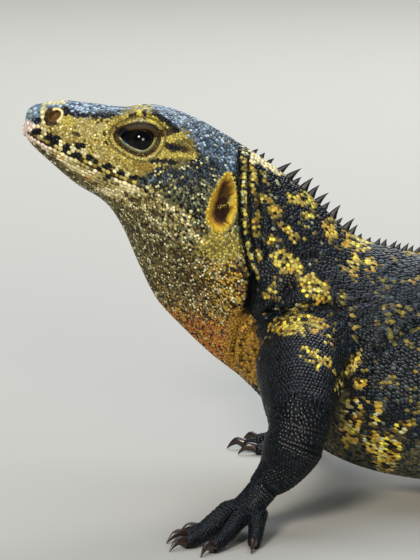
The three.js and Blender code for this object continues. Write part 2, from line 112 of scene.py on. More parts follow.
class IguanaSizes(PropertyGroup):
    """Sizes of the coat, the crest, the eyes and the studio's light."""

    coat_depth: length_choice("Coat Depth", 0.6, "How far the skin lies within the frame's flesh")
    neck_granule: length_choice("Neck Granules", 1.15, "Spacing of the granules behind the neck's fold")
    face_granule: length_choice("Face Granules", 0.8, "Spacing of the granules of cheeks and temples")
    throat_granule: length_choice("Throat Granules", 0.76, "Spacing of the granules of the throat")
    lid_granule: length_choice("Lid Granules", 0.58, "Spacing of the granules round the lids")
    crown_granule: length_choice("Crown Granules", 1.1, "Spacing of the granules of the crown")
    nose_granule: length_choice("Nose Plates", 1.5, "Spacing of the plates of the nose")
    front_scale: length_choice("Shoulder Scales", 1.3, "Length of the trunk's scales at the shoulders")
    rear_scale: length_choice("Hip Scales", 2.5, "Length of the trunk's scales at the hips")
    leg_scale: length_choice("Leg Scales", 1.45, "Length of the scales of the upper legs")
    crest_height: length_choice("Crest Height", 4.4, "Height of the crest's tallest spine")
    thorn_length: length_choice("Tail Thorns", 3.4, "How far the tail's first thorns stand out")
    iris: angle_choice("Iris", 36, "Half the angle that the iris spans on the eyeball")
    pupil: angle_choice("Pupil", 23, "Half the angle that the pupil spans on the eyeball")
    key_power: FloatProperty(name="Key Light", description="Strength of the key light", min=0, default=3.0)


class IguanaColours(PropertyGroup):
    """Colours of the markings on skin and scales, and of the studio."""

    black: colour_choice("Black", "#070a0e", "Ground of the back, legs, tail and crest")
    ink: colour_choice("Ink", "#0f171d", "Scales of the neck and trunk that are less than black")
    # Slate strewn high on the temples stands for painted blue highlights.
    slate: colour_choice("Slate", "#586e82", "Ground of the crown and nose")
    # Pale Slate is light scales of their own, and in part painted glints on crown, nose and stripe.
    pale_slate: colour_choice("Pale Slate", "#98aec0", "Light scales of the crown and nose")
    # Deep Slate strewn over the neck's black stands for a painted blue-grey sheen.
    deep_slate: colour_choice("Deep Slate", "#26343f", "Dark scales of the crown and temples")
    lip: colour_choice("Lip", "#e2cfc2", "Bare tip of the lips")
    yellow: colour_choice("Yellow", "#ada04c", "Ground of the face and of the body's patches")
    bright_yellow: colour_choice("Bright Yellow", "#ccc346", "Brow bars and the patches' brightest scales")
    pale_yellow: colour_choice("Pale Yellow", "#ccc48c", "Nostril's ring, lower lid's edge and nape")
    straw: colour_choice("Straw", "#a09558", "Duller ground between the face's yellow")
    ochre: colour_choice("Ochre", "#867230", "Dark yellow scales of the face, and edges of patches")
    # Umber is a brown of bars and specks, and also painted shade in the lids' crease, along the mouth and deep
    # in the ears.
    umber: colour_choice("Umber", "#35260f", "Brown bars and creases")
    cream: colour_choice("Cream", "#cfc79c", "Light scales of the lips, jaw and nape")
    jaw: colour_choice("Jaw", "#8f8450", "Ground of the lower jaw")
    moss: colour_choice("Moss", "#4e543e", "Ground of the jowls")
    pale_moss: colour_choice("Pale Moss", "#b0b48e", "Light flecks of the jowls, throat and neck")
    olive: colour_choice("Olive", "#625a2a", "Dull rims of the yellow patches")
    throat: colour_choice("Throat", "#7c663a", "Ground of the throat")
    orange: colour_choice("Orange", "#a2602a", "Lowest part of the throat")
    gold: colour_choice("Gold", "#a8882e", "Warm scales of the throat and of the patches")
    tan: colour_choice("Tan", "#9a6c28", "Warm scales of the chin, and wall of the ear")
    gular: colour_choice("Gular Fold", "#9a7630", "Soft fold behind the throat")
    lid: colour_choice("Lid", "#353922", "Bare upper lid")
    lid_rim: colour_choice("Lid Rim", "#5f6448", "Bare edge of the lower lid")
    # Nostril is a brown of its own, darkened further as painted shade inside the holes.
    nostril: colour_choice("Nostril", "#5f4526", "Inside of the nostrils")
    ear: colour_choice("Ear Rim", "#c0a232", "Rim of the ears")
    # Pit is painted shade deep in the ears and on the eardrums, and the claws' own dark brown.
    pit: colour_choice("Pit", "#24140a", "Depth of the ears, eardrums and claws")
    flank: colour_choice("Flank", "#364046", "Bands on the trunk and tail")
    wrinkle: colour_choice("Wrinkle", "#606964", "Stray light scales of the trunk and tail")
    belly: colour_choice("Belly", "#4a4836", "Underside")
    floor: colour_choice("Floor", "#a6a59e", "Studio paper under the animal")
    sky: colour_choice("Sky", "#bccbdc", "Light that comes from all round the studio")


def chosen(name):
    """A size as the user has it: lengths in millimetres, angles in radians, strength as it is."""
    sizes = bpy.context.scene.iguana_sizes
    plain = name in ("iris", "pupil", "key_power")
    return getattr(sizes, name) / (1 if plain else MM)


def chosen_colour(name):
    """A colour as the user has it, as linear red, green and blue."""
    return np.array(getattr(bpy.context.scene.iguana_colours, name))


# -------------------- sizes, in millimetres

# Sections of the body from the lip to the root of the tail: back x and z, belly x and z, half widths near the
# back, in the middle and near the belly, and squareness.
SECTIONS = np.array([
    (0.6, 142.6, 0.9, 136.4, 3, 4, 3, 2.0),  # lip
    (2.2, 147.4, 2.8, 133.5, 7, 8, 6, 2.3),  # nose
    (8, 149.6, 9, 127.6, 9.2, 10.6, 8.5, 2.5),  # nostrils
    (20, 149.7, 19.5, 118.6, 11.8, 14, 11, 2.6),  # muzzle
    (32, 148.7, 30, 111.9, 14.8, 17.4, 13, 2.6),  # front of the eyes
    (44, 148.3, 36.5, 102.6, 17.5, 19.5, 11, 2.5),  # eyes
    (56, 147.0, 43, 87.6, 18, 23.4, 9.5, 2.3),  # temples
    (68, 141.8, 49.5, 74.6, 17, 26.4, 9, 2.1),  # jowls
    (80, 134.8, 58.5, 64.6, 16, 26, 9, 2.0),  # nape
    (92, 126.9, 70, 53.6, 15.5, 26, 9.5, 2.0),  # neck
    (103, 118.6, 82, 44.1, 15.5, 29, 12, 2.0),  # gular fold
    (112, 110.2, 96, 30, 16, 33, 18, 2.0),  # front of the shoulders
    (123, 100, 115, 16, 18, 37, 27, 2.1),  # shoulders
    (140, 94.6, 138, 8.5, 22, 41, 34, 2.2),  # chest
    (170, 89.5, 170, 5.5, 27, 45.5, 40, 2.3),  # ribs
    (210, 83.5, 211, 4.6, 28, 46.5, 41, 2.3),  # belly
    (250, 75, 251, 5, 25, 41, 36, 2.2),  # flank
    (290, 65, 290, 7.5, 20, 31, 27, 2.1),  # hips
    (318, 53, 316, 7, 16, 23, 20, 2.05),  # vent
    (344, 43, 344, 4.5, 14.5, 18.5, 15, 2.0),  # tail's root
])
TAIL_START = len(SECTIONS) - 1

# Swellings of the body, alike on both sides: middle, half size, how far they push out.
SWELLINGS = [
    ((51, 13.5, 149), (10, 6.5, 7), 3.2),  # brow
    ((36, 12.5, 148), (9, 5, 5), 1.2),  # ridge before the eye
    ((15, 6.5, 149), (5, 4.5, 5), 1.1),  # top of the nostril
    ((43, 18, 133), (11, 8, 8.5), 1.3),  # lids
    ((64, 27, 113), (13, 10, 14), 3.2),  # jowl
    ((66, 15, 139), (12, 9, 8), 1.6),  # temple's muscle
    ((114, 36, 72), (18, 14, 22), 4.2),  # shoulder
    ((298, 29, 46), (20, 12, 17), 3.4),  # hip
    ((38.5, 0, 149), (6, 16, 6), -1.0),  # dip of the snout before the brow
]

EYE_AT = np.array([43.9, 12.0, 136.7])
EYE_RADIUS = 8.0
NOSTRIL_AT = np.array([12.1, 8.6, 145.3])
NOSTRIL_HALF = np.array([2.5, 2.6, 1.7])
NOSTRIL_LEAN = math.radians(-34)
EAR_AT = np.array([74.2, 27.4, 114.6])
EAR_HALF = np.array([4.2, 5.2, 9.5])
EAR_LEAN = math.radians(12)
EAR_TAPER = 0.32  # how much narrower the ear is at its top than in its middle, as a share
EARDRUM_HALF = np.array([3.1, 0.9, 7.6])

FLOOR_SINK = 0.3  # how far feet and tail are pressed into the floor
TAIL_LENGTH = 534  # along its bends
TAIL_REACH = 510  # straight back from its root
TAIL_TAPER = 1.12
TAIL_TIP_RADIUS = 1.1
TAIL_SWAY = 74
TAIL_BENDS = 1.55
TAIL_DROP = 0.07  # share of the tail over which it comes down to the floor
WHORL_PITCH = (12.5, 7.5)  # from one whorl of thorns to the next, at the root and at the tip
WHORL_SPIKE_END = 0.6  # how far the last thorns stand out

# The legs: [x, y, z, half width, half thickness] down the upper leg, the lower leg and the foot.
LEGS = {
    "fore_left": dict(foot="hand", side=-1, heading=38, rows=[
        [(108, -16, 62, 19, 19), (104, -36, 57, 18.5, 18.5), (102, -54, 49, 14.5, 15.5),
         (102, -66, 42.5, 12.4, 12.6)],
        [(101.5, -66, 41, 11.4, 11.4), (99.5, -67, 34, 12.2, 12), (95, -67, 25, 8.6, 8.8),
         (89.5, -67, 19, 6.2, 6.2)],
        [(89.5, -67, 18.5, 5.6, 5.8), (85.5, -69, 14, 7, 5.2), (81, -71, 9.8, 8.4, 4.4)],
    ]),
    "fore_right": dict(foot="hand", side=1, heading=12, rows=[
        [(112, 16, 62, 19, 19), (117, 36, 57, 18.5, 18.5), (124, 54, 49, 15, 15.5),
         (130, 66, 42.5, 12.4, 12.6)],
        [(130, 67, 41, 11.4, 11.4), (127, 70, 34, 12.2, 12), (122, 73, 25, 8.6, 8.8),
         (118, 75, 18.5, 6.2, 6.2)],
        [(118, 75, 18, 5.6, 5.8), (114, 76, 13.5, 7, 5.2), (109, 77.5, 9.5, 8.4, 4.4)],
    ]),
    "hind_left": dict(foot="foot", side=-1, heading=26, rows=[
        [(303, -11, 36, 18, 15), (295, -32, 40, 18, 17), (282, -52, 41, 15, 15.5),
         (271, -69, 38, 12, 12.6)],
        [(271, -71, 36, 11.6, 12.2), (281, -76, 29, 11.4, 12), (293, -80, 21, 8.2, 8.6),
         (303, -82, 13.5, 6.6, 6.8)],
        [(302, -83, 11, 6.2, 6.2), (292, -87, 9, 7.4, 5.4), (281, -92, 8, 8.8, 4.6)],
    ]),
    "hind_right": dict(foot="foot", side=1, heading=34, rows=[
        [(303, 11, 36, 18, 15), (298, 32, 40, 18, 17), (288, 52, 41, 15, 15.5), (279, 69, 38, 12, 12.6)],
        [(279, 71, 36, 11.6, 12.2), (290, 77, 29, 11.4, 12), (303, 82, 21, 8.2, 8.6),
         (314, 85, 13.5, 6.6, 6.8)],
        [(313, 86, 11, 6.2, 6.2), (304, 91, 9, 7.4, 5.4), (294, 97, 8, 8.8, 4.6)],
    ]),
}
# Digits: the angle each one is spread to, how far it reaches, and its thick and thin radii.
DIGITS = {
    "hand": dict(spread=(-54, -22, 2, 28, 66), reach=(15, 20, 25, 25, 17), radii=(3.4, 2.5)),
    "foot": dict(spread=(-38, -17, 0, 14, 62), reach=(16, 26, 38, 49, 25), radii=(3.6, 2.5)),
}
KNUCKLE_SPACING = 2.9
KNUCKLE_DEPTH = 3
CLAW_LENGTH = 8.5
CLAW_RADII = (1.9, 1.5, 0.3)


# -------------------- curves and surfaces

FINE_ANGLES = np.linspace(0, TURN, 361)


def row_at(rows, station):
    """Rows read at stations counted in rows, on a uniform Catmull-Rom curve through them."""
    rows, station = np.asarray(rows, float), np.atleast_1d(np.asarray(station, float))
    last = len(rows) - 1
    i = np.clip(np.floor(station).astype(int), 0, last - 1)
    t = (station - i)[:, None]
    a, b, c, d = (rows[np.clip(i + k, 0, last)] for k in (-1, 0, 1, 2))
    return b + 0.5 * t * (c - a + t * (2 * a - 5 * b + 4 * c - d + t * (3 * (b - c) + d - a)))


def unit(v):
    """Vectors divided by their own length."""
    return v / np.maximum(np.linalg.norm(v, axis=-1, keepdims=True), 1e-12)


def smoothstep(v, low, high):
    """0 below low and 1 above high, and between them 3 t squared less 2 t cubed."""
    t = np.clip((v - low) / (high - low), 0, 1)
    return t * t * (3 - 2 * t)


def leaned(x, z, lean):
    """Places across from a middle, read along and across an oval that leans by an angle: a turn of both."""
    return x * math.cos(lean) - z * math.sin(lean), x * math.sin(lean) + z * math.cos(lean)


def on_right(points):
    """Points drawn onto the animal's right side: each Y without its sign."""
    return points * (1, 0, 1) + np.abs(points) * (0, 1, 0)


def travelled(points):
    """How far along lines of points each point lies: the running sum of the steps."""
    steps = np.linalg.norm(np.diff(points, axis=-2), axis=-1)
    return np.concatenate([np.zeros_like(steps[..., :1]), np.cumsum(steps, axis=-1)], axis=-1)


def oval(centre, up, side, half, widths, squareness):
    """Squared ovals, one per row: up times half times cos^(2/n), and side times width times sin^(2/n), with a
    width that runs from back to belly on a parabola through three values."""
    n = np.broadcast_to(squareness, half.shape)[:, None]
    cos, sin = np.cos(FINE_ANGLES), np.sin(FINE_ANGLES)
    rise = np.sign(cos) * np.abs(cos) ** (2 / n)
    f = (1 - rise) / 2
    near_back, middle, near_belly = (widths[:, k, None] for k in range(3))
    width = near_back * (1 - f) * (1 - 2 * f) + middle * 4 * f * (1 - f) + near_belly * f * (2 * f - 1)
    out = width * np.sign(sin) * np.abs(sin) ** (2 / n)
    return centre[:, None] + up[:, None] * (half[:, None] * rise)[..., None] + side[:, None] * out[..., None]


def round_share(rings, shares):
    """Closed rings of points read at shares of their own length, so that columns lie evenly round them."""
    along = travelled(rings)
    along /= along[:, -1:]
    return np.stack([
        [np.interp(shares, length, ring[:, k]) for length, ring in zip(along, rings)] for k in range(3)
    ], axis=-1)


def columned(rings, columns):
    """Rings with a number of evenly spaced columns."""
    return round_share(rings, np.arange(columns) / columns)


def back_and_belly(stations):
    """The body's sections at stations, and the points of its back and of its belly there."""
    rows = row_at(SECTIONS, stations)
    zero = np.zeros(len(rows))
    back, belly = (np.stack([rows[:, k], zero, rows[:, k + 1]], 1) for k in (0, 2))
    return rows, back, belly


def body_rings(stations, inset=0.0):
    """The body's outline at each station, swollen: a squared oval square to its line from back to belly."""
    rows, back, belly = back_and_belly(stations)
    centre, half = (back + belly) / 2, np.linalg.norm(back - belly, axis=1) / 2
    side = np.broadcast_to([0.0, -1.0, 0.0], back.shape)
    rings = oval(centre, unit(back - belly), side, half, rows[:, 4:7], rows[:, 7])
    push = -inset
    for at, size, out in SWELLINGS:
        push = push + out * np.exp(-(((on_right(rings) - at) / size) ** 2).sum(-1))
    return rings + unit(rings - centre[:, None]) * push[..., None]


def tail_middle(share, radius):
    """The tail's middle line: a sine swing that grows from the root, sinking to the floor."""
    root = row_at(SECTIONS, TAIL_START)[0]
    sway = -TAIL_SWAY * np.sin(math.pi * TAIL_BENDS * share) * smoothstep(share, 0, 0.5)
    lift = (root[3] + FLOOR_SINK) * np.exp(-((share / TAIL_DROP) ** 2))
    return np.stack([(root[0] + root[2]) / 2 + TAIL_REACH * share, sway, radius - FLOOR_SINK + lift], axis=-1)


def tail_radius(share):
    """The tail's radius, which thins as a power of what is left of its length."""
    root = row_at(SECTIONS, TAIL_START)[0]
    half = (root[1] - root[3]) / 2
    return (half - TAIL_TIP_RADIUS) * np.clip(1 - share, 0, None) ** TAIL_TAPER + TAIL_TIP_RADIUS


def tail_rings(share, inset=0.0):
    """The tail's rings at shares of its length: upright ovals square to its middle line."""
    share = np.asarray(share, float)
    root = row_at(SECTIONS, TAIL_START)[0]
    full = tail_radius(share)
    ahead = unit((tail_middle(share + 1e-3, full) - tail_middle(share - 1e-3, full)) * (1, 1, 0))
    side = np.stack([ahead[:, 1], -ahead[:, 0], 0 * share], axis=-1)
    roundness = 1 + (root[5] / ((root[1] - root[3]) / 2) - 1) * (1 - np.clip(share * 8, 0, 1))
    up = np.broadcast_to([0.0, 0.0, 1.0], side.shape)
    width = roundness * full - inset
    return oval(tail_middle(share, full), up, side, full - inset, np.stack([width] * 3, 1), 2.0)


def tube_rings(rows, stations, inset=0.0):
    """Rings of an oval tube along rows of [x, y, z, half width, half thickness], its width kept level."""
    stations = np.asarray(stations, float)
    here = row_at(rows, stations)
    ahead = unit(row_at(rows, stations + 0.02)[:, :3] - row_at(rows, stations - 0.02)[:, :3])
    side = unit(np.stack([-ahead[:, 1], ahead[:, 0], 0 * stations], axis=-1))
    width = np.stack([here[:, 3] - inset] * 3, axis=1)
    return oval(here[:, :3], np.cross(side, ahead), side, here[:, 4] - inset, width, 2.0)


def domed(rings, front, end):
    """Rings with a dome before the first and past the last: quarter circles, bulging by front and end."""
    angles = np.linspace(0.1, math.pi / 2, 7)[:-1, None, None]

    def dome(ring, before, bulge):
        centre = ring[:-1].mean(0)
        ahead = unit(centre - before[:-1].mean(0))
        return centre + (ring - centre) * np.sin(angles) + ahead * bulge * np.cos(angles)

    return np.concatenate([dome(rings[0], rings[1], front), rings, dome(rings[-1], rings[-2], end)[::-1]])


def spaced(rings_at, first, last, spacing):
    """Stations from first to last whose rings lie the wanted distance apart, given as rows of [station,
    distance]: the running sum of steps over distances, read evenly."""
    fine = np.linspace(first, last, 800)
    advance = np.linalg.norm(np.diff(rings_at(fine)[:, :-1].mean(1), axis=0), axis=1)
    counted = np.concatenate([[0], np.cumsum(advance / np.interp(fine[:-1], *zip(*spacing)))])
    return np.interp(np.linspace(0, counted[-1], max(round(counted[-1]), 3) + 1), counted, fine)


def digit_path(leg, index):
    """Rows of [x, y, z] down one digit and its claw: over the joints, to the tip, and on down the claw."""
    info = LEGS[leg]
    shape = DIGITS[info["foot"]]
    thick, thin = shape["radii"]
    heading, turn = math.radians(info["heading"]), math.radians(shape["spread"][index])
    ahead = np.array([-math.cos(heading), info["side"] * math.sin(heading), 0])
    sideways = np.array([math.sin(heading), info["side"] * math.cos(heading), 0])
    knuckles = np.array(info["rows"][2][-1][:3], float)
    root = knuckles + sideways * (index - 2) * KNUCKLE_SPACING - ahead * KNUCKLE_DEPTH
    reach = shape["reach"][index]
    tip = knuckles + ahead * reach * math.cos(turn) + sideways * reach * math.sin(turn)
    tip[2] = thin - FLOOR_SINK
    onward = unit((tip - root) * (1, 1, 0))

    def along(share, z):
        return [*(root + (tip - root) * share)[:2], z]

    def beyond(share, z):
        return [*(tip + onward * CLAW_LENGTH * share)[:2], z]

    joint = along(0.35, max(root[2] * 0.9, thick + 2.4))
    last = along(0.72, thick + 0.9)
    return np.array([
        along(0, root[2]), joint, last, along(1, tip[2]), beyond(0.55, tip[2] + 0.4), beyond(1, 0.55)
    ])


def digit_rows(leg, index):
    """Rows of [x, y, z, half width, half thickness] down one digit, from thick to thin."""
    thick, thin = DIGITS[LEGS[leg]["foot"]]["radii"]
    radii = [thick, thick, thick + (thin - thick) * 0.6, thin, thin, thin]
    return np.column_stack([digit_path(leg, index), radii, radii])


def drawn_origin():
    """Where the drawing's own origin lies in the frame, in metres, found from the eyes."""
    boxes = [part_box(name) for name in ("eye_left", "eye_right")]
    middle = np.mean([np.array(corner) for box in boxes for corner in box], axis=0)
    return np.array([middle[0] - EYE_AT[0] * MM, middle[1], 0.0])


def place(points):
    """Drawn points, in millimetres, carried into the frame, in metres."""
    return np.asarray(points, float) * MM + drawn_origin()


# -------------------- the side drawing

# Folds and markings are drawn in millimetres on a plane beside the animal, as seen from EYE_DISTANCE away and
# a little above. Both sides of the animal take them alike.
DRAWING_MIDDLE = (69.4, 82.4)
EYE_DISTANCE = 1300.0
EYE_RISE = math.radians(9)


def on_side_drawing(points):
    """Where points fall on the side drawing, [along, height] for each: turned by the eye's rise, and drawn
    larger the nearer they lie to the eye."""
    x, y, z = points[..., 0], -np.abs(points[..., 1]), points[..., 2]
    nearer = EYE_DISTANCE / (EYE_DISTANCE + y)
    height = ((z - DRAWING_MIDDLE[1]) * math.cos(EYE_RISE) + y * math.sin(EYE_RISE)) * nearer
    along = (x - DRAWING_MIDDLE[0]) * nearer
    return np.stack([DRAWING_MIDDLE[0] + along, DRAWING_MIDDLE[1] + height], axis=-1)


def line_distance(flat, line):
    """How far flat points lie from a line, and the share of the line at which their nearest points lie."""
    line = np.asarray(line, float)
    starts, steps = line[:-1], np.diff(line, axis=0)
    best, where = np.full(len(flat), 1e9), np.zeros(len(flat))
    for k, (start, step) in enumerate(zip(starts, steps)):
        t = np.clip((flat - start) @ step / (step @ step), 0, 1)
        distance = np.linalg.norm(flat - start - t[:, None] * step, axis=1)
        nearer = distance < best
        best, where = np.where(nearer, distance, best), np.where(nearer, (k + t) / len(steps), where)
    return best, where


def random_at(cells, seed):
    """A repeatable random number from 0 to 1 for each row of whole numbers."""
    mixed = (cells.astype(np.int64) * (73856093, 19349663, 83492791)).sum(-1) + seed * 2654435761
    mixed = (mixed ^ (mixed >> 13)) * 1274126177 & 0xFFFFFFFF
    mixed = (mixed ^ (mixed >> 15)) * 2246822519 & 0xFFFFFFFF
    return ((mixed ^ (mixed >> 16)) & 0xFFFFFF) / float(0x1000000)


def noise(points, size, seed=0, octaves=1):
    """Value noise from 0 to 1: random numbers on a lattice, blended by smooth steps, in octaves."""
    total, weight = 0, 0
    for octave in range(octaves):
        scaled = points / size * 2**octave + 100
        cell = np.floor(scaled).astype(int)
        t = scaled - cell
        t = t * t * (3 - 2 * t)
        value = 0
        for corner in np.ndindex(2, 2, 2):
            share = np.prod(np.where(corner, t, 1 - t), axis=-1)
            value = value + share * random_at(cell + np.array(corner), seed + octave)
        total, weight = total + value / 2**octave, weight + 1 / 2**octave
    return total / weight


# -------------------- folds, lids and ridges

MOUTH = [(1.9, 137.2), (5.3, 134.5), (12, 131.2), (20.3, 127), (31.1, 121.8), (37.9, 119.2), (45.8, 116.2)]
# Lines that the skin sinks or rises along: the line, how far out it stands, and its half width.
FOLDS = [
    (MOUTH, -0.4, 0.4),
    ([(45.8, 116.2), (50.6, 114.3), (57.4, 110.2), (64.2, 104.2), (67.9, 98.9)],
     -0.7, 0.9),  # behind the mouth
    ([(80.6, 131.2), (80.3, 125.5), (80.4, 112.4), (81.4, 99.3), (82.9, 91.8), (85.0, 83.9), (84.2, 75.7),
      (80.6, 65.9), (78.8, 60.6), (78, 55.4), (79.9, 47.2)], -2.6, 1.05),  # the head's skin folds on the neck
    ([(83.9, 129.5), (83.8, 112.4), (84.6, 97.4), (87.2, 88.0)], -1.7, 0.8),
    ([(85.5, 83.9), (84.4, 75.7), (80.6, 65.9)], -2.5, 2.6),
    ([(87, 69.3), (82.9, 65.2), (79.9, 59.9), (80.3, 53.9), (84.4, 44.9)], 1.4, 1.4),  # gular fold
    ([(89.6, 68.2), (92.7, 70), (100.5, 70.5), (108.4, 72.3), (114.8, 73.4), (120.4, 71.5)],
     -2.2, 1.3),  # over the arm
    ([(89.6, 72), (93, 74), (101, 74.6), (108, 76.2), (114, 77)], 1.0, 1.9),
    ([(101.7, 82), (94.2, 73.4), (89.6, 68.2)], -1.8, 1.1),
    ([(130.2, 54.6), (141.8, 62.5), (148.2, 65.9), (155.7, 68.2)], -2.0, 1.6),  # behind the arm
    ([(117.4, 41.9), (123.8, 52.8), (127.5, 61.4)], -1.5, 1.4),
    ([(84.4, 65.5), (85.9, 58), (86.7, 48.7)], -1.2, 1.0),
    ([(137.5, 66.5), (143, 69), (150, 71.5), (160, 73)], -0.9, 0.8),
    ([(116, 70.5), (122, 73), (130, 74.5)], -0.8, 0.8),
    ([(128, 40), (131, 52), (137, 64), (146, 76)], -0.9, 0.9), ([(134, 84), (141, 90), (146, 93)], -0.5, 0.7),
    ([(88.2, 124), (88.4, 112), (89.0, 99), (91, 88)], -0.7, 0.8),
    ([(96, 86), (103, 90), (112, 92)], -0.5, 0.8),
    ([(16.9, 144.3), (24.4, 143.5), (31.9, 143.2), (38.7, 143.5)], 0.5, 1.1),  # ridge from nostril to brow
    ([(36.4, 140.9), (40.1, 143.2), (45.4, 144.3), (49.9, 143.5), (54.4, 140.9), (58.9, 137.5)],
     0.9, 1.3),  # brow
    ([(65.7, 97.4), (71.3, 89.2), (75.4, 78.7), (77.7, 67.4)], 0.9, 2.4),  # slack of the throat
    ([(75, 97.4), (77.7, 91.4), (79.9, 82.4)], 0.8, 1.6),
]
# The lids' opening, across from the eye's middle: corners, upper edge and lower edge.
LID_POINTS = [
    (-7.9, 1.5), (-4.2, 4.2), (0.2, 5.0), (3.8, 4.2), (5.5, 1.8), (4.1, -1.6), (0.8, -3.4), (-3.6, -2.0),
]
LID_THICKNESS = 0.75
UPPER_LID_FROM = 1.6  # how high over the eye's middle the upper lid begins
LID_ROLL_RADIUS = 0.5
LID_ROLL_OUT = 0.35  # how far over the eye the middle of the lids' rolled edge lies
DEEPEST_LID = 2.3  # how far the lids may sink below the head's outline
# Creases round the lids: distance from their opening, how far out each stands, and its half width.
LID_CREASES = [(1.45, -0.45, 0.35), (2.4, 0.35, 0.6), (3.6, -0.4, 0.5), (5.0, 0.3, 0.8)]
NOSTRIL_RING = 0.45  # how far the nostril's ring stands out
EAR_RIM = 0.8  # how far the ear's rim lies outside its opening
EAR_PIT = 3.4  # how deep the ear is
SLACKNESS = 1.1  # height of the wrinkles in the slack skin of the neck and trunk
EAR_FLAP = [(73.2, 109.6), (76.5, 111.2), (78.3, 113.0)]


def lid_outline(count=96):
    """The lids' opening as a closed Catmull-Rom curve, [x, z] across from the eye's middle."""
    closed = np.array(LID_POINTS[-1:] + LID_POINTS + LID_POINTS[:2])
    return row_at(closed, np.linspace(1, len(LID_POINTS) + 1, count, endpoint=False))


def outline_distance(flat, outline):
    """How far flat points lie outside a closed outline, negative within it: a point is within when a level
    line from it crosses the outline an odd number of times."""
    distance, _ = line_distance(flat, np.vstack([outline, outline[:1]]))
    a, b = outline, np.roll(outline, -1, axis=0)
    x, z = flat[:, :1], flat[:, 1:]
    crosses = (a[:, 1] > z) != (b[:, 1] > z)
    climb = np.where(b[:, 1] == a[:, 1], 1e-9, b[:, 1] - a[:, 1])
    edge = a[:, 0] + (z - a[:, 1]) * (b[:, 0] - a[:, 0]) / climb
    inside = (crosses & (x < edge)).sum(1) % 2 == 1
    return np.where(inside, -distance, distance)


def lid_distance(points):
    """How far points lie outside the lids' opening, across from the eye's middle."""
    return outline_distance(points[:, (0, 2)] - EYE_AT[[0, 2]], lid_outline(64))


def oval_distance(along, across, out):
    """How far points lie outside an oval, given how many times the oval's own reach each one lies out."""
    return (out - 1) * np.hypot(along, across) / np.maximum(out, 1e-6)


def ear_distance(points, inner=0):
    """How far points lie from the rim of the ear, an oval that narrows upwards. Those nearer to the animal's
    middle plane than inner count as far off."""
    x, _, z = (points - EAR_AT).T
    along, height = leaned(x, z, EAR_LEAN)
    narrowed = EAR_HALF[0] * (1 - EAR_TAPER * np.clip(height / EAR_HALF[2], -0.6, 1.2))
    distance = oval_distance(along, height, np.hypot(along / narrowed, height / EAR_HALF[2]))
    return np.where(np.abs(points[:, 1]) > inner, distance, FAR)


def nostril_distance(points):
    """How far points lie outside the nostril's leaning oval, negative within it."""
    x, y, z = (on_right(points) - NOSTRIL_AT).T
    along, across = leaned(x, z, NOSTRIL_LEAN)
    out = np.hypot(np.hypot(along / NOSTRIL_HALF[0], across / NOSTRIL_HALF[2]), y / 8)
    return oval_distance(along, across, out)


def lids_over(points):
    """Points near the eyes drawn onto a ball just larger than the eye, so that the lids lie on it, then
    creased by bell curves of the distance from the opening."""
    side = np.sign(points[:, 1])
    across = points[:, (0, 2)] - EYE_AT[[0, 2]]
    near = (np.abs(across) < 16).all(1) & (np.abs(points[:, 1]) > 6)
    moved, across = points.copy(), across[near]
    distance = outline_distance(across, lid_outline())
    ball = EYE_RADIUS + LID_THICKNESS
    plain = np.abs(points[near, 1])
    depth = EYE_AT[1] + np.sqrt(np.maximum(ball**2 - (across**2).sum(1), 0))
    hold = 1 - smoothstep(distance, 0.8, 6.0)
    out = plain + (np.maximum(depth, plain - DEEPEST_LID) - plain) * hold
    for at, rise, half in LID_CREASES:
        out = out + rise * np.exp(-(((distance - at) / half) ** 2))
    moved[near, 1] = side[near] * out
    return moved


def relief(points, normals):
    """How far the skin stands out of the body's plain outline at each point: along the folds, round the
    nostrils and ears, and in the wrinkles of the neck, all by bell curves of the distance."""
    flat = on_side_drawing(points)
    sideways = smoothstep(np.abs(normals[:, 1]), 0.12, 0.45)
    out = np.zeros(len(points))
    for line, rise, half in FOLDS:
        low, high = np.min(line, axis=0) - 4 * half, np.max(line, axis=0) + 4 * half
        near = ((flat > low) & (flat < high)).all(1)
        distance, where = line_distance(flat[near], line)
        fade = smoothstep(where, -0.02, 0.12) * (1 - smoothstep(where, 0.88, 1.02))
        bell = np.exp(-((distance / half) ** 2)) - 0.22 * np.exp(-(((distance - 2.2 * half) / half) ** 2))
        out[near] += rise * bell * np.maximum(fade, 0.12 if rise < 0 else 0)
    out *= sideways
    out += NOSTRIL_RING * np.exp(-(((nostril_distance(points) - 0.7) / 0.8) ** 2))
    from_ear = ear_distance(points, 14)
    out += 0.8 * np.exp(-(((from_ear - EAR_RIM) / 1.1) ** 2)) * sideways
    out -= EAR_PIT * smoothstep(-from_ear, 0.0, 1.2)
    flap, _ = line_distance(flat, EAR_FLAP)
    out += 1.5 * np.exp(-((flap / 0.5) ** 2)) * smoothstep(-from_ear, 0.2, 1.0)
    x, _, z = points.T
    slack = smoothstep(x + (100 - z) * 0.25, 78, 100) * (1 - smoothstep(x, 150, 330))
    return out + slack * SLACKNESS * (noise(points * (1.0, 0.6, 0.5), 7.0, 3, 2) - 0.5) * sideways


# -------------------- meshes


def vertex_normals(points, triangles):
    """The normal of each point: the mean of its triangles' normals, weighed by their areas."""
    a, b, c = (points[triangles[:, k]] for k in range(3))
    faces = np.cross(b - a, c - a)
    corners = triangles.ravel()
    sums = [np.bincount(corners, np.repeat(faces[:, k], 3), len(points)) for k in range(3)]
    return unit(np.stack(sums, axis=1))


def outwards(points, triangles):
    """A closed surface's points and triangles, turned over if its volume comes out below 0."""
    a, b, c = (points[triangles[:, k]] for k in range(3))
    volume = np.einsum("ij,ij->i", a, np.cross(b, c)).sum()
    return points, triangles if volume > 0 else triangles[:, ::-1]


def halved(a, b, c, d):
    """Quads, given by their corners in turn, cut into triangles."""
    return np.concatenate([np.stack(three, -1).reshape(-1, 3) for three in ((a, b, c), (a, c, d))])


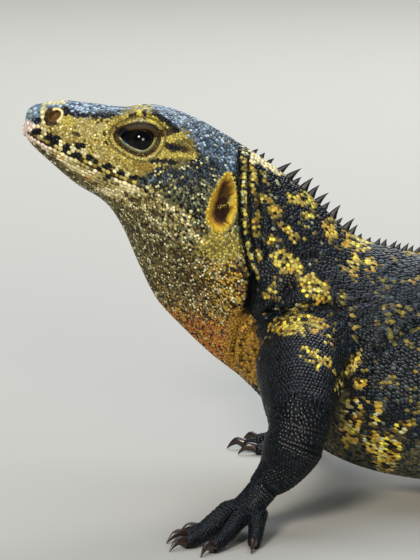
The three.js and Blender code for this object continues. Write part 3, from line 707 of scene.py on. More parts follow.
def closed_grid(rings):
    """A closed surface over rings of points: quads round and along it, and a fan to the middle of each end
    ring. Gives its points and its triangles."""
    rows, columns = rings.shape[:2]
    points = np.vstack([rings.reshape(-1, 3), rings[0].mean(0), rings[-1].mean(0)])
    here = np.arange(rows * columns).reshape(rows, columns)
    ahead = np.roll(here, -1, axis=1)
    first, last = len(points) - 2, len(points) - 1
    fans = [
        np.stack([np.full(columns, first), ahead[0], here[0]], -1),
        np.stack([np.full(columns, last), here[-1], ahead[-1]], -1),
    ]
    return outwards(points, np.concatenate([halved(here[:-1], ahead[:-1], ahead[1:], here[1:]), *fans]))


def gathered(solids):
    """Solids, as pairs of points and triangles, put together as one pair."""
    starts = np.cumsum([0] + [len(points) for points, _ in solids])
    triangles = [triangles + start for (_, triangles), start in zip(solids, starts)]
    return np.concatenate([points for points, _ in solids]), np.concatenate(triangles)


def mesh_object(name, points, triangles, drawn=True):
    """A mesh object of triangles, smooth shaded and in the scene. Drawn points are placed in the frame."""
    mesh = bpy.data.meshes.new(name)
    mesh.vertices.add(len(points))
    mesh.vertices.foreach_set("co", (place(points) if drawn else points).astype(np.float32).ravel())
    mesh.loops.add(triangles.size)
    mesh.loops.foreach_set("vertex_index", triangles.astype(np.int32).ravel())
    mesh.polygons.add(len(triangles))
    mesh.polygons.foreach_set("loop_start", np.arange(0, triangles.size, 3, dtype=np.int32))
    mesh.update(calc_edges=True)
    mesh.shade_smooth()
    made = bpy.data.objects.new(name, mesh)
    bpy.context.scene.collection.objects.link(made)
    return made


def arrays_of(mesh):
    """A mesh's points, triangles and vertex normals, as arrays, in the frame."""
    mesh.calc_loop_triangles()
    points, normals = (np.zeros(len(mesh.vertices) * 3, np.float32) for _ in range(2))
    triangles = np.zeros(len(mesh.loop_triangles) * 3, np.int32)
    mesh.vertices.foreach_get("co", points)
    mesh.vertex_normals.foreach_get("vector", normals)
    mesh.loop_triangles.foreach_get("vertices", triangles)
    return points.reshape(-1, 3).astype(float), triangles.reshape(-1, 3), normals.reshape(-1, 3).astype(float)


def drop(*objects):
    """Takes objects and their meshes out of the file."""
    for made in objects:
        mesh = made.data
        bpy.data.objects.remove(made)
        bpy.data.meshes.remove(mesh)


def combined(base, steps):
    """The base object with other solids joined to it or cut out of it, in order, as points and triangles."""
    for operation, other in steps:
        modifier = base.modifiers.new(operation, "BOOLEAN")
        modifier.operation, modifier.object, modifier.solver = operation, other, "MANIFOLD"
    evaluated = base.evaluated_get(bpy.context.evaluated_depsgraph_get())
    points, triangles, _ = arrays_of(evaluated.to_mesh())
    evaluated.to_mesh_clear()
    drop(base, *[other for _, other in steps])
    return points, triangles


def evened(points, triangles, hold, times):
    """Points moved towards the mean of their neighbours, times over, each as far as its hold says."""
    edges = np.vstack([triangles[:, pair] for pair in ((0, 1), (1, 2), (2, 0))])
    edges = np.unique(np.sort(edges, 1), axis=0)
    free = hold > 0.01
    edges = edges[free[edges].any(1)]
    a, b = np.concatenate([edges[:, 0], edges[:, 1]]), np.concatenate([edges[:, 1], edges[:, 0]])
    count = np.maximum(np.bincount(a, minlength=len(points)), 1)
    for _ in range(times):
        mean = np.stack([np.bincount(a, points[b, k], minlength=len(points)) / count for k in range(3)], 1)
        points = np.where(free[:, None], points + (mean - points) * hold[:, None] * 0.6, points)
    return points


# -------------------- the skin

BODY_SPACING = [(0, 0.45), (5.8, 0.5), (8.7, 0.75), (11, 1.1), (13, 1.9), (15, 2.8), (TAIL_START, 2.8)]
BODY_COLUMNS = 252
TAIL_COLUMNS = 56
LEG_COLUMNS = 44
DIGIT_COLUMNS = 20
SHOULDER_BLEND = 8.0
JOINT_BLEND = 3.5
DIGIT_BLEND = 1.3
FLAT_LEVEL = 0.25


def tree_of(points, triangles):
    """A tree to look places on a surface up in."""
    return BVHTree.FromPolygons(points.tolist(), triangles.tolist())


def distances(tree, points):
    """How far each point lies from a surface."""
    return np.array([tree.find_nearest(point)[3] for point in points.tolist()])


def joined(base, others, blend, times):
    """A solid joined with others, and smoothed where they meet, over about the blend distance. Solids are
    pairs of drawn points and triangles."""
    objects = [mesh_object("part", *solid, drawn=False) for solid in (base, *others)]
    points, triangles = combined(objects[0], [("UNION", other) for other in objects[1:]])
    base_tree, hold = tree_of(*base), np.zeros(len(points))
    for other in others:
        low, high = other[0].min(0) - 2 * blend, other[0].max(0) + 2 * blend
        near = np.flatnonzero(((points > low) & (points < high)).all(1))
        off = np.maximum(distances(base_tree, points[near]), distances(tree_of(*other), points[near]))
        hold[near] = np.maximum(hold[near], np.exp(-((off / blend) ** 2)))
    return evened(points, triangles, hold, times), triangles


def tube_solid(rows, step, columns, inset, front, end, last=None):
    """A domed tube along rows, as points and triangles."""
    last = len(rows) - 1 if last is None else last
    stations = spaced(lambda at: tube_rings(rows, at), 0, last, [(0, step), (9, step)])
    rings = domed(tube_rings(rows, stations, inset), front, end)
    return closed_grid(columned(rings, columns))


def leg_solid(name, inset):
    """One leg with its digits, as points and triangles."""
    info = LEGS[name]
    upper, lower, foot = (np.array(rows, float) for rows in info["rows"])
    lengths = [
        tube_solid(rows, 1.6, LEG_COLUMNS, inset, rows[0][4] * 0.5, rows[-1][4] * 0.8)
        for rows in (upper, lower, foot)
    ]
    whole = joined(lengths[0], lengths[1:], JOINT_BLEND, 16)
    thick, thin = DIGITS[info["foot"]]["radii"]
    digits = [
        tube_solid(digit_rows(name, index), 0.9, DIGIT_COLUMNS, inset * 0.6, thick * 0.8, thin * 0.7, last=3)
        for index in range(5)
    ]
    return joined(whole, digits, DIGIT_BLEND, 8)


def tail_solid(inset):
    """The tail, begun a little way inside the trunk, as points and triangles."""
    share = np.concatenate([[-0.03, -0.02, -0.01], spaced(tail_rings, 0, 0.995, [(0, 3.0), (1, 1.6)])])
    depth = np.where(share < 0, inset + 0.5, inset * np.clip(1.2 - share, 0.3, 1))
    rings = domed(tail_rings(share, depth), 3, 1)
    return closed_grid(columned(rings, TAIL_COLUMNS))


def body_solid(inset):
    """The head, neck and trunk before any fold is laid on them, as points and triangles."""
    rings = domed(body_rings(spaced(body_rings, 0, TAIL_START, BODY_SPACING), inset), 1.6, 5)
    return closed_grid(columned(rings, BODY_COLUMNS))


def mirrored_to(side, points):
    """Points drawn for the right side, on the side that is asked for: their Y times -1 or 1."""
    return points * (1, side, 1)


def lid_cutter(side):
    """The opening between the lids, as a prism from outside the head to the middle of the eye."""
    outline = lid_outline(64)[::-1]
    rings = [
        np.column_stack([outline[:, 0] + EYE_AT[0], np.full(len(outline), y), outline[:, 1] + EYE_AT[2]])
        for y in (30.0, 24.0, 18.0, 14.5)
    ]
    return closed_grid(mirrored_to(side, np.stack(rings)))


def lid_roll(side):
    """The rounded edge of the lids: a thin tube round their opening, on a ball just larger than the eye."""
    outline = lid_outline(120)
    away = unit(outline - np.roll(outline, 4, axis=0) + np.roll(outline, -4, axis=0) - outline)
    away = np.column_stack([away[:, 1], -away[:, 0]])
    ball = EYE_RADIUS + LID_ROLL_OUT
    angles = np.linspace(0, TURN, 9)[:-1]
    radius = LID_ROLL_RADIUS
    depth = EYE_AT[1] + np.sqrt(np.maximum(ball**2 - (outline**2).sum(1), 20))
    x = EYE_AT[0] + outline[:, 0, None] + away[:, 0, None] * radius * np.cos(angles)
    z = EYE_AT[2] + outline[:, 1, None] + away[:, 1, None] * radius * np.cos(angles)
    y = depth[:, None] + radius * np.sin(angles)
    points = mirrored_to(side, np.stack([x, y, z], -1))
    rows, columns = points.shape[:2]
    here = np.arange(rows * columns).reshape(rows, columns)
    down, over = np.roll(here, -1, axis=0), np.roll(here, -1, axis=1)
    corner = np.roll(down, -1, axis=1)
    return outwards(points.reshape(-1, 3), halved(here, over, corner, down))


def ball_solid(centre, half, lean=0.0, rows=24, columns=32):
    """An ellipsoid, leaning about Y, as points and triangles."""
    down = np.linspace(0, math.pi, rows + 1)[1:-1, None]
    across = np.arange(columns)[None] / columns * TURN
    shape = [np.sin(down) * np.cos(across), np.sin(down) * np.sin(across), np.cos(down) + 0 * across]
    leaning = np.array([[math.cos(lean), 0, math.sin(lean)], [0, 1, 0], [-math.sin(lean), 0, math.cos(lean)]])
    return closed_grid(np.stack(shape, -1) * half @ leaning.T + centre)


def skin_solid(inset):
    """The whole skin in one piece: body, tail and legs joined, then the openings of lids and nostrils cut."""
    body = body_solid(inset)
    legs = [leg_solid(name, inset) for name in LEGS]
    points, triangles = joined(body, [*legs, tail_solid(inset)], SHOULDER_BLEND, 40)
    normals = vertex_normals(points, triangles)
    points = lids_over(points + normals * relief(points, normals)[:, None])
    base = mesh_object("skin", points, triangles, drawn=False)
    steps = []
    for side in SIDE_NAMES:
        steps += [
            ("DIFFERENCE", lid_cutter(side)),
            ("UNION", lid_roll(side)),
            ("DIFFERENCE", ball_solid(mirrored_to(side, NOSTRIL_AT), NOSTRIL_HALF, NOSTRIL_LEAN)),
        ]
    steps = [(operation, mesh_object("part", *solid, drawn=False)) for operation, solid in steps]
    points, triangles = combined(base, steps)
    points[:, 2] = np.maximum(points[:, 2], FLAT_LEVEL)
    return points, triangles


# -------------------- markings

BAND_PITCH = 30  # from one dark band of the trunk and tail to the next
# The noises fleck, fine, mottle and wide: size, seed and octaves.
GRAINS = ((1.9, 11, 2), (1.15, 12, 1), (3.6, 14, 2), (8.5, 13, 2))
# Where the slate of the crown ends above the face, and the yellow of the face below the jaw.
CROWN_EDGE = [
    (0.4, 141.7), (9.4, 147.5), (17.4, 145.6), (28.9, 145.0), (36.6, 144.8), (39.9, 145.8), (47.6, 145.7),
    (50.9, 144.6), (53.7, 141.3), (57.5, 138.0), (61.4, 134.0), (71.3, 127.0), (80.0, 122.0),
]
JAW_LOWER_EDGE = [
    (4, 134), (7.5, 131.2), (18.8, 122.9), (28.2, 115.4), (37.5, 110.5), (46.9, 104.2), (56.3, 97.4),
    (67.5, 93.7), (75, 97.4),
]
JAW_LINE = MOUTH + [(50.6, 114.3), (57.4, 110.2), (64.2, 104.2), (75, 97.4)]
TEMPLE = np.array([
    (60.3, 137), (63.6, 131), (61.5, 127), (53.1, 125.3), (46.5, 123.5), (43.0, 118.5), (50.6, 114.3),
    (57.4, 110.2), (64.2, 104.2), (75, 97.4), (86, 97), (86, 134), (71, 134), (63, 138),
])
NECK_FOLD = FOLDS[2][0]
# Folds whose creases are painted black, as painted shade.
SHADED_FOLDS = (*FOLDS[2:5], FOLDS[6])
FOLD_RIDGE = [(82.1, 130), (81.9, 112.4), (82.9, 99.3), (84.4, 91.8), (86.4, 84.5)]
# Yellow patches on the black of the neck, shoulder and trunk: middle, half sizes and lean in degrees.
PATCHES = [
    ((82.9, 131.2), (1.5, 1.1), -30), ((88.4, 129.2), (7.4, 1.3), -27), ((96.4, 124.4), (2.6, 1.0), -25),
    ((85.3, 121.4), (1.1, 6.8), 5), ((86.3, 106.8), (1.1, 6.4), 0), ((89.7, 112.8), (3.0, 1.3), -40),
    ((93.0, 108.7), (2.6, 1.5), -55), ((97.9, 101.5), (2.1, 1.3), -45), ((101.7, 98.5), (1.7, 1.3), 0),
    ((105.0, 112.4), (6.8, 2.6), -5), ((114.0, 101.2), (2.2, 3.8), 15), ((123.8, 97.4), (6.0, 3.4), -25),
    ((97.9, 89.2), (7.1, 3.2), -40), ((108.4, 79.0), (6.8, 4.5), -42), ((92.7, 77.5), (3.0, 2.2), -50),
    ((92.5, 96.7), (0.8, 1.9), 0), ((86.3, 91.8), (1.1, 2.6), 20), ((104.3, 71.9), (4.5, 0.9), 8),
    ((103.2, 65.2), (10.5, 4.1), 0), ((113.7, 59.9), (1.5, 2.6), 30), ((109.9, 52.4), (8.2, 3.0), -32),
    ((122.3, 49.0), (4.9, 1.5), 52), ((125.3, 43.8), (1.3, 1.5), 0), ((122.7, 29.2), (3.3, 9.0), -10),
    ((136.0, 17.4), (4.8, 7.2), -15), ((118.5, 75.3), (1.3, 2.2), 0), ((136.2, 71.9), (1.5, 0.8), 0),
    ((123.0, 89.2), (1.5, 4.5), 0), ((129.0, 87.7), (1.7, 4.1), 0), ((105.4, 106.0), (1.1, 0.9), 0),
    ((145.2, 92.9), (3.0, 1.2), -15), ((132.8, 31.8), (2.0, 4.2), 0), ((130.0, 21.5), (3.0, 4.0), 0),
    ((141.5, 27.2), (3.0, 1.9), 40), ((118.3, 43.5), (1.6, 3.4), -12),
]
CANTHAL_STRIPE = [(15.4, 145.6), (20, 144.0), (24.4, 143.8), (31.9, 143.7), (38.0, 144.5)]
# Spots and bars on the face, in the order they are laid: tone, line through the middle, half width.
FACE_BARS = [
    ("ochre", [(33.6, 138.0), (36.5, 141.8), (40.5, 144.4)], 1.7),
    ("yellow", [(34.5, 140.2), (38.5, 143.6)], 0.8), ("umber", [(39.9, 143.4), (41.8, 143.7)], 1.0),
    ("bright_yellow", [(42.9, 145.0), (43.2, 143.2)], 0.8),
    ("black", [(45.1, 145.2), (45.4, 142.8)], 0.8),
    ("bright_yellow", [(47.0, 142.7), (48.7, 141.7)], 1.2),
    ("yellow", [(50.0, 141.0), (53.4, 139.7)], 0.7),
    ("black", [(48.3, 144.6), (50.6, 143.4), (54.2, 140.7), (57.0, 137.8)], 1.15),
    ("umber", [(51.0, 136.2), (52.4, 137.6), (54.4, 137.6)], 1.5),
    ("yellow", [(50.6, 133.9), (54.8, 134.8)], 1.1),
    ("yellow", [(54.6, 134.8), (57.8, 136.0), (60.4, 136.4)], 1.2),
    ("umber", [(53.2, 132.5), (59.9, 130.9)], 1.4), ("black", [(54.2, 132.2), (58.2, 131.3)], 0.8),
    ("gold", [(48.8, 130.2), (51.6, 131.6)], 1.1),
    ("yellow", [(46.5, 129.0), (51.1, 128.5), (58.6, 129.2), (63.6, 128.2)], 1.1),
    ("black", [(47.3, 126.6), (51.0, 126.9), (56.6, 126.2)], 0.85),
    ("ochre", [(41.5, 126.0), (46.5, 124.4)], 1.8), ("umber", [(30.0, 137.4), (30.3, 136.6)], 0.6),
    ("umber", [(30.4, 133.6), (30.9, 133.0)], 0.6), ("umber", [(19.5, 136.6), (20.8, 136.4)], 0.8),
    ("black", [(34.6, 139.0), (36.6, 137.6)], 0.6),
]
# Dark blots along the upper lip and the pale plates between them, from the snout back: middle and half sizes.
LIP_BLOTS = [
    ((5.4, 141.9), (1.1, 1.1)), ((4.9, 137.7), (1.9, 1.3)), ((9.4, 135.8), (1.3, 1.2)),
    ((11.9, 134.4), (2.0, 1.7)), ((16.0, 131.9), (1.8, 1.4)), ((20.9, 132.2), (2.2, 1.2)),
    ((19.9, 128.8), (1.7, 1.5)), ((24.5, 127.9), (1.3, 1.2)), ((26.6, 126.5), (1.0, 1.0)),
    ((31.1, 124.8), (1.6, 1.3)), ((28.1, 123.7), (1.0, 0.8)), ((31.7, 121.3), (1.5, 1.0)),
    ((36.6, 122.0), (1.6, 1.1)), ((41.0, 120.7), (1.7, 0.9)), ((44.2, 120.0), (1.2, 0.7)),
]
LIP_PALES = [
    ((7.9, 137.9), (1.0, 0.9)), ((14.1, 133.3), (0.9, 1.2)), ((18.4, 131.3), (0.9, 1.2)),
    ((22.4, 130.2), (1.4, 1.1)), ((27.2, 128.7), (1.2, 0.9)), ((24.6, 125.6), (1.2, 0.8)),
    ((34.0, 123.2), (1.0, 1.0)), ((39.0, 121.3), (0.8, 0.9)),
]


def above(flat, line):
    """How high points of the side drawing lie above a line that runs along it."""
    return flat[:, 1] - np.interp(flat[:, 0], *np.transpose(line))


def blot(flat, middle, half, lean=0):
    """How far inside an oval flat points lie: 1 in its middle, 0 on its edge, negative outside."""
    along, across = leaned(*(flat - middle).T, -math.radians(lean))
    half = np.broadcast_to(half, 2)
    return 1 - np.hypot(along / half[0], across / half[1])


def band(flat, line, half):
    """1 on a line of the side drawing, 0 at its half width, negative beyond."""
    return 1 - line_distance(flat, line)[0] / half


def ringed(distance, middle, half):
    """1 where a distance has its middle value, 0 at a half width from that, negative beyond."""
    return 1 - np.abs(distance - middle) / half


def both(*masks):
    """A mask that rises above 0 only where all of these do."""
    return functools.reduce(np.minimum, masks)


class Paint:
    """Colours being laid on points, each layer over the last."""

    def __init__(self, count, rng):
        self.colour, self.rng = np.tile(chosen_colour("black"), (count, 1)), rng

    def lay(self, name, mask, soft=0.12, rough=0.25):
        """Covers points as far as their mask rises above 0, broken up at random by the rough."""
        cover = smoothstep(mask + (self.rng.random(len(mask)) - 0.5) * rough, -soft, soft)[:, None]
        self.colour = self.colour * (1 - cover) + chosen_colour(name) * cover

    def strew(self, mask, **shares):
        """Covers a random share of the points within a mask with each tone, in order."""
        for name, share in shares.items():
            self.lay(name, both(mask, (share - self.rng.random(len(mask))) * 3), 0.15, 0)


# Each of the next functions lays one region's markings. The four noises lie evenly round 0. A mask is above 0
# where its marking lies.


def trunk_markings(paint, points, flat, top, noises):
    """Black, with dull crossbands and flecks on the trunk and tail, and broken yellow patches on neck and
    shoulders: the bands are a sine of the place along the body."""
    lay, strew = paint.lay, paint.strew
    fleck, fine, mottle, wide = noises
    station, z = points[:, 0], flat[:, 1]
    bands = np.sin((station - 150) / BAND_PITCH * TURN + 4.8 * wide)
    trunk = smoothstep(station, 112, 150) - 0.5
    lay("ink", trunk, 0.3, 0.6)
    strew(trunk, flank=0.22 + fleck * 1.2 + 0.26 * bands)
    low_front = smoothstep(-z, -72, -48) * (1 - smoothstep(station, 150, 210))
    strew(
        trunk,
        wrinkle=(fine - 0.04) * 0.8 + 0.05 * bands + 0.14 * low_front,
        olive=0.02 + fleck * 0.8 + 0.10 * bands + 0.12 * low_front,
        gold=(mottle - 0.18) * 1.8 + 0.06 * bands,
    )
    lay("belly", both(smoothstep(-top, 0.3, 0.8) - 0.5, smoothstep(station, 90, 130) - 0.5), 0.3, 0.4)
    neck = both(smoothstep(station, 76, 84), 1 - smoothstep(station, 128, 165)) - 0.5
    net = 0.45 * mottle + 0.55 * fleck
    lay("ink", both(neck, (fine - 0.06) * 4), 0.2, 0.5)
    # Deep slate scales strewn over the neck's black: a painted blue-grey sheen.
    strew(neck, deep_slate=fine * 0.5)
    lay("olive", both(neck, (net - 0.16) * 7), 0.15, 0.5)
    lay("ochre", both(neck, (net - 0.21) * 7), 0.15, 0.5)
    strew(both(neck, (112 - station) * 0.1), pale_moss=0.01)
    patch = np.full(len(points), -9.0)
    for middle, half, lean in PATCHES:
        reach = np.array(half) + 0.3
        patch = np.maximum(patch, blot(flat, middle, reach, lean) * reach.min() / 2)
    patch = patch + mottle * 0.9 + fleck * 1.7
    lay("olive", patch + 0.02, 0.12, 0.35)
    lay("gold", patch - 0.14, 0.12, 0.3)
    lay("yellow", both(patch - 0.22, (wide + 0.08) * 4 + fleck), 0.15, 0.6)
    lay("ochre", both(patch - 0.05, (-0.10 - fine) * 3), 0.15, 0.3)
    low = smoothstep(-z, -52, -40)
    strew(both(patch, low - 0.5), gold=0.3)
    strew(patch - 0.35, bright_yellow=0.16)
    strew(patch - 0.1, pale_moss=0.22 * low)
    strew(patch, umber=0.10, black=0.22 + 0.06 * low - fleck * 0.6)
    nape = blot(flat, (89.6, 127.9), (9.8, 3.3), -28) + fleck * 1.2
    lay("pale_yellow", nape, 0.15, 0.4)
    strew(nape, cream=0.8)
    leg = smoothstep(np.abs(points[:, 1]), 40, 46) * (1 - smoothstep(z, 60, 66)) - 0.5
    kept = np.where(points[:, 1] < 0, 0.1, 0.45)
    lay("black", both(leg, kept - patch), 0.2, 0.1)
    strew(leg, ink=0.25)


def throat_markings(paint, points, flat, head, noises):
    """The throat: brown with pale and dark specks, yellower beside the neck's fold, orange lowest down."""
    lay, strew = paint.lay, paint.strew
    fleck, _, mottle, wide = noises
    x, z = flat.T
    throat = both(head, -above(flat, JAW_LOWER_EDGE)) * 0.5
    low = smoothstep(-z - x * 0.3, -98, -80)
    lay("throat", throat, 0.3, 0.6)
    lay("olive", both(throat, (z - 78) * 0.03 + fleck), 0.2, 0.8)
    lay("gold", both(throat, blot(flat, (75.5, 80), (6, 22), 8) + fleck), 0.2, 0.8)
    lay("orange", both(throat, low - 0.6 + wide * 0.6), 0.25, 0.6)
    middle = ringed(smoothstep(z, 62, 100), 0.5, 0.5)
    strew(
        throat,
        pale_moss=0.20 - 0.18 * low + fleck * 0.7 * (1 - 0.6 * low),
        cream=0.08 - 0.07 * low,
        gold=0.30 * low,
        umber=0.30 + 0.10 * middle - 0.14 * low - mottle * 0.6,
        black=0.13,
    )
    gular = both(both(blot(flat, (82, 56.5), (5.2, 13), 8), 0.6) + fleck * 0.4, 33 - np.abs(points[:, 1]))
    lay("gular", gular + 0.15, 0.2, 0.3)
    strew(gular, gold=0.18, umber=0.10)


def face_markings(paint, flat, head, noises):
    """Jaw, cheek, temple and jowl: a ground tone each, strewn with paler and darker scales."""
    lay, strew = paint.lay, paint.strew
    fleck, _, mottle, _ = noises
    x, z = flat.T
    face = both(head, above(flat, JAW_LOWER_EDGE)) * 0.5
    lay("jaw", face, 0.2, 0.3)
    jaw = both(face, -above(flat, JAW_LINE))
    back = smoothstep(x, 30, 60)
    along, across = x * 0.88 - z * 0.47, x * 0.47 + z * 0.88  # along the jaw and across it
    streak = noise(np.column_stack([along * 0.28, 0 * x, across]), 1.1, 15) - 0.45
    lay("straw", both(jaw, streak * 3), 0.2, 0.4)
    strew(
        jaw,
        cream=0.34 - 0.12 * back + streak * 1.6,
        umber=0.12 + 0.10 * back - streak * 1.4,
        moss=0.26 * back,
        black=0.03 + 0.17 * back,
    )
    strew(both(jaw, (26 - x) * 0.1), tan=0.07)
    lay("lip", both(jaw, (9 - x) * 0.2), 0.3, 0.2)
    upper = both(face, above(flat, JAW_LINE))
    lay("yellow", upper, 0.3, 0.2)
    lay("straw", both(upper, mottle + 0.04), 0.10, 0.5)
    strew(upper, ochre=0.20 - fleck * 0.9, pale_yellow=0.14 + fleck * 0.7, umber=0.09 - mottle * 0.6)
    temple = both(-outline_distance(flat, TEMPLE) * 0.4 + fleck * 0.8, head)
    high = smoothstep(z, 114, 122)
    lay("moss", temple, 0.2, 0.7)
    lay("deep_slate", both(temple, high - 0.5), 0.2, 0.8)
    # Slate scales strewn high on the temple: painted blue highlights.
    strew(both(temple, high - 0.5), slate=0.08 + fleck * 0.5)
    strew(
        temple,
        pale_moss=0.28 - 0.20 * high + fleck * 0.8,
        straw=0.10 - 0.06 * high,
        black=0.42 - mottle * 0.7,
        yellow=0.02,
    )
    below_ear = both(head, blot(flat, (73.5, 95), (8, 5)) + fleck * 0.8)
    lay("yellow", below_ear, 0.15, 0.6)
    strew(below_ear, olive=0.35)
    return face


def crown_markings(paint, flat, top, head, noises):
    """The crown, slate on its plates, with a black stripe from nostril to brow."""
    fleck = noises[0]
    crown = np.maximum(above(flat, CROWN_EDGE) * 0.35, (top - 0.75) * 2.2)
    crown = both(crown, head, (flat[:, 1] - 120) * 0.3)
    paint.lay("slate", crown, 0.2, 0.35)
    back = smoothstep(flat[:, 0], 50, 80)
    # Pale slate scales, in part painted glints, and deep slate ones.
    paint.strew(
        crown,
        pale_slate=0.44 - 0.34 * back + fleck * 0.8,
        deep_slate=0.20 + 0.30 * back - fleck * 0.9,
        pale_moss=0.05 * back,
    )
    stripe = band(flat, CANTHAL_STRIPE, 1.25)
    paint.lay("black", stripe, 0.2, 0.4)
    # Pale slate flecks on the black stripe: in part painted glints.
    paint.strew(stripe, pale_slate=0.16)


def eye_markings(paint, points, flat, face, noises):
    """The lids, in rings round their opening, and the bars across them."""
    lay, strew = paint.lay, paint.strew
    _, fine, mottle, _ = noises
    x, z = flat.T
    from_lids = np.where((x > 25) & (x < 60) & (z > 120), lid_distance(points), FAR)
    over = points[:, 2] > EYE_AT[2] + UPPER_LID_FROM
    below_crown = 0.35 - above(flat, CROWN_EDGE) * 0.5
    behind = both(blot(flat, (56.5, 132), (7.5, 7)), face)
    lay("olive", behind, 0.15, 0.5)
    strew(behind, ochre=0.25)
    ring = both(both(ringed(from_lids, 4.0, 2.4), 0.30 + mottle) - 0.1, below_crown)
    lay("yellow", ring, 0.15, 0.4)
    strew(ring, ochre=0.20, pale_yellow=0.15)
    for name, line, half in FACE_BARS:
        bar = both(band(flat, line, half), 0.55) + fine * 0.5 - 0.05
        lay(name, both(bar, below_crown + 0.2), 0.12, 0.35)
    below = both(ringed(from_lids, 2.8, 0.6), 0.4 - over) - 0.1
    lay("yellow", below, 0.15, 0.4)
    strew(below, pale_yellow=0.30)
    lay("olive", ringed(from_lids, 3.6, 0.4), 0.3, 0.8)
    lay("ochre", both(ringed(from_lids, 1.5, 0.8), 0.4 - over), 0.15, 0.2)
    lay("lid", ringed(from_lids, 0.5, np.where(over, 1.2, 0.7)), 0.15, 0.1)
    lay("umber", both(ringed(from_lids, 0.2, 0.7), over - 0.3), 0.2, 0.1)
    lay("lid_rim", both(ringed(from_lids, 0.2, 0.4), 0.3 - over), 0.2, 0.1)
    # Umber along the crease round the lids: painted shade.
    lay("umber", ringed(from_lids, np.where(over, 1.8, 1.7), np.where(over, 0.5, 0.4)), 0.2, 0.1)
    lay("umber", both(ringed(from_lids, 0.95, 0.25), 0.3 - over), 0.2, 0.1)
    # Black at the lids' front corner: painted shade in the corner of the opening.
    lay("black", both(blot(flat, (36.6, 137.6), (3.4, 1.6), -14), 1.7 - from_lids), 0.15, 0.1)


def snout_markings(paint, points, flat, face, noises):
    """The nose, the plates and blots along the lip, and the rings of the nostrils."""
    lay, strew = paint.lay, paint.strew
    fleck, fine, _, _ = noises
    nose = blot(flat, (3.2, 145.4), (5.2, 5.4), -10)
    lay("slate", nose, 0.12, 0.3)
    # Pale slate scales on the nose: in part painted pale-blue highlights.
    strew(nose, pale_slate=0.45, pale_moss=0.12, deep_slate=0.10)
    lay("pale_yellow", blot(flat, (7.9, 144.2), (1.5, 4.6)) - 0.1, 0.15, 0.5)
    lay("cream", blot(flat, (12.0, 148.3), (3.8, 0.8)), 0.2, 0.6)
    lay("yellow", blot(flat, (16.4, 141.6), (2.4, 2.2)), 0.15, 0.5)
    lay("lip", blot(flat, (1.6, 138.6), (3.0, 3.0)), 0.2, 0.3)
    for middle, half in LIP_BLOTS:
        lay("black", both(blot(flat, middle, half) * 1.4 + 0.15 + fine * 0.5, face + 0.4), 0.12, 0.2)
    for middle, half in LIP_PALES:
        lay("cream", both(blot(flat, middle, half), face + 0.4), 0.12, 0.2)
    from_nostril = nostril_distance(points)
    ahead = smoothstep(NOSTRIL_AT[0] + 0.4 * (NOSTRIL_AT[2] - points[:, 2]) - points[:, 0], -1.2, 1.2) - 0.5
    lay("umber", both(ringed(from_nostril, 1.1, 0.9) + (fleck - 0.05) * 1.2 - 0.15, ahead), 0.2, 0.3)
    lay("black", blot(flat, (15.6, 145.2), (1.7, 1.9)), 0.2, 0.3)
    lay("pale_yellow", both(ringed(from_nostril, 0.5, 0.6), -ahead), 0.15, 0.2)
    lay("umber", both(ringed(from_nostril, 0.4, 0.5), ahead), 0.15, 0.2)
    # Inside the nostril: brown, darkened further as painted shade of the hole.
    lay("nostril", -from_nostril * 2, 0.15, 0)


def ear_markings(paint, points, flat, fine):
    """The ears: a yellow rim, a pit darkened by painted shade as it deepens, and its flap."""
    lay = paint.lay
    from_ear = ear_distance(points, 12)
    lay("ear", ringed(from_ear, 0.2, 1.1) + fine * 0.5 + 0.25 * (flat[:, 1] > 121), 0.2, 0.3)
    paint.strew(ringed(from_ear, 0.3, 1.3), yellow=0.45)
    lay("ear", both(-from_ear + 0.4, 0.9 + from_ear), 0.2, 0)
    lay("tan", -from_ear - 0.9, 0.4, 0)
    # Umber, then pit low in the middle: painted shade deeper in the ear.
    lay("umber", -from_ear - 1.7, 0.6, 0)
    lay("pit", both(-from_ear - 1.0, blot(flat, (75.6, 106.2), (2.0, 3.2)) + 0.2), 0.4, 0)
    lay("yellow", both(band(flat, EAR_FLAP, 0.6), -from_ear), 0.2, 0)


def fold_markings(paint, flat, fleck):
    """The yellow ridge beside the neck's fold, and painted shade in the folds and along the mouth's line."""
    ridge = both(band(flat, FOLD_RIDGE, 1.6), 0.6) + fleck * 1.2
    paint.lay("ink", ridge + 0.3, 0.15, 0.3)
    paint.strew(ridge, olive=0.35, yellow=0.35, pale_moss=0.10)
    # Black along the folds of neck and shoulder: painted shade in their creases.
    for line, _, half in SHADED_FOLDS:
        high = smoothstep(flat[:, 1], 60, 80) - 0.5
        paint.lay("black", both(band(flat, line, half * 1.1) - 0.35, high), 0.25, 0.2)
    # Umber along the mouth: painted shade in its crease.
    paint.lay("umber", band(flat, MOUTH, 0.5), 0.3, 0.1)


def markings(points, normals, seed=0):
    """The colours of the animal at points of it: one tone for each region of the side drawing, with the
    flecks, blots and patches that lie on it. Skin and scales are both painted by this."""
    flat = on_side_drawing(points)
    rng = np.random.default_rng(seed)
    noises = [noise(points, size, number, octaves) - 0.5 for size, number, octaves in GRAINS]
    top = normals[:, 2]
    paint = Paint(len(points), rng)
    trunk_markings(paint, points, flat, top, noises)
    head = both(fold_at(flat[:, 1]) - flat[:, 0], (flat[:, 1] - 40) * 0.5)
    throat_markings(paint, points, flat, head, noises)
    face = face_markings(paint, flat, head, noises)
    crown_markings(paint, flat, top, head, noises)
    eye_markings(paint, points, flat, face, noises)
    snout_markings(paint, points, flat, face, noises)
    ear_markings(paint, points, flat, noises[1])
    fold_markings(paint, flat, noises[0])
    return np.clip(paint.colour * rng.uniform(0.78, 1.18, (len(points), 1)), 0, 1)


# -------------------- scales

TAPER = 0.68  # how wide a scale's shoulder is, as a share of its rim


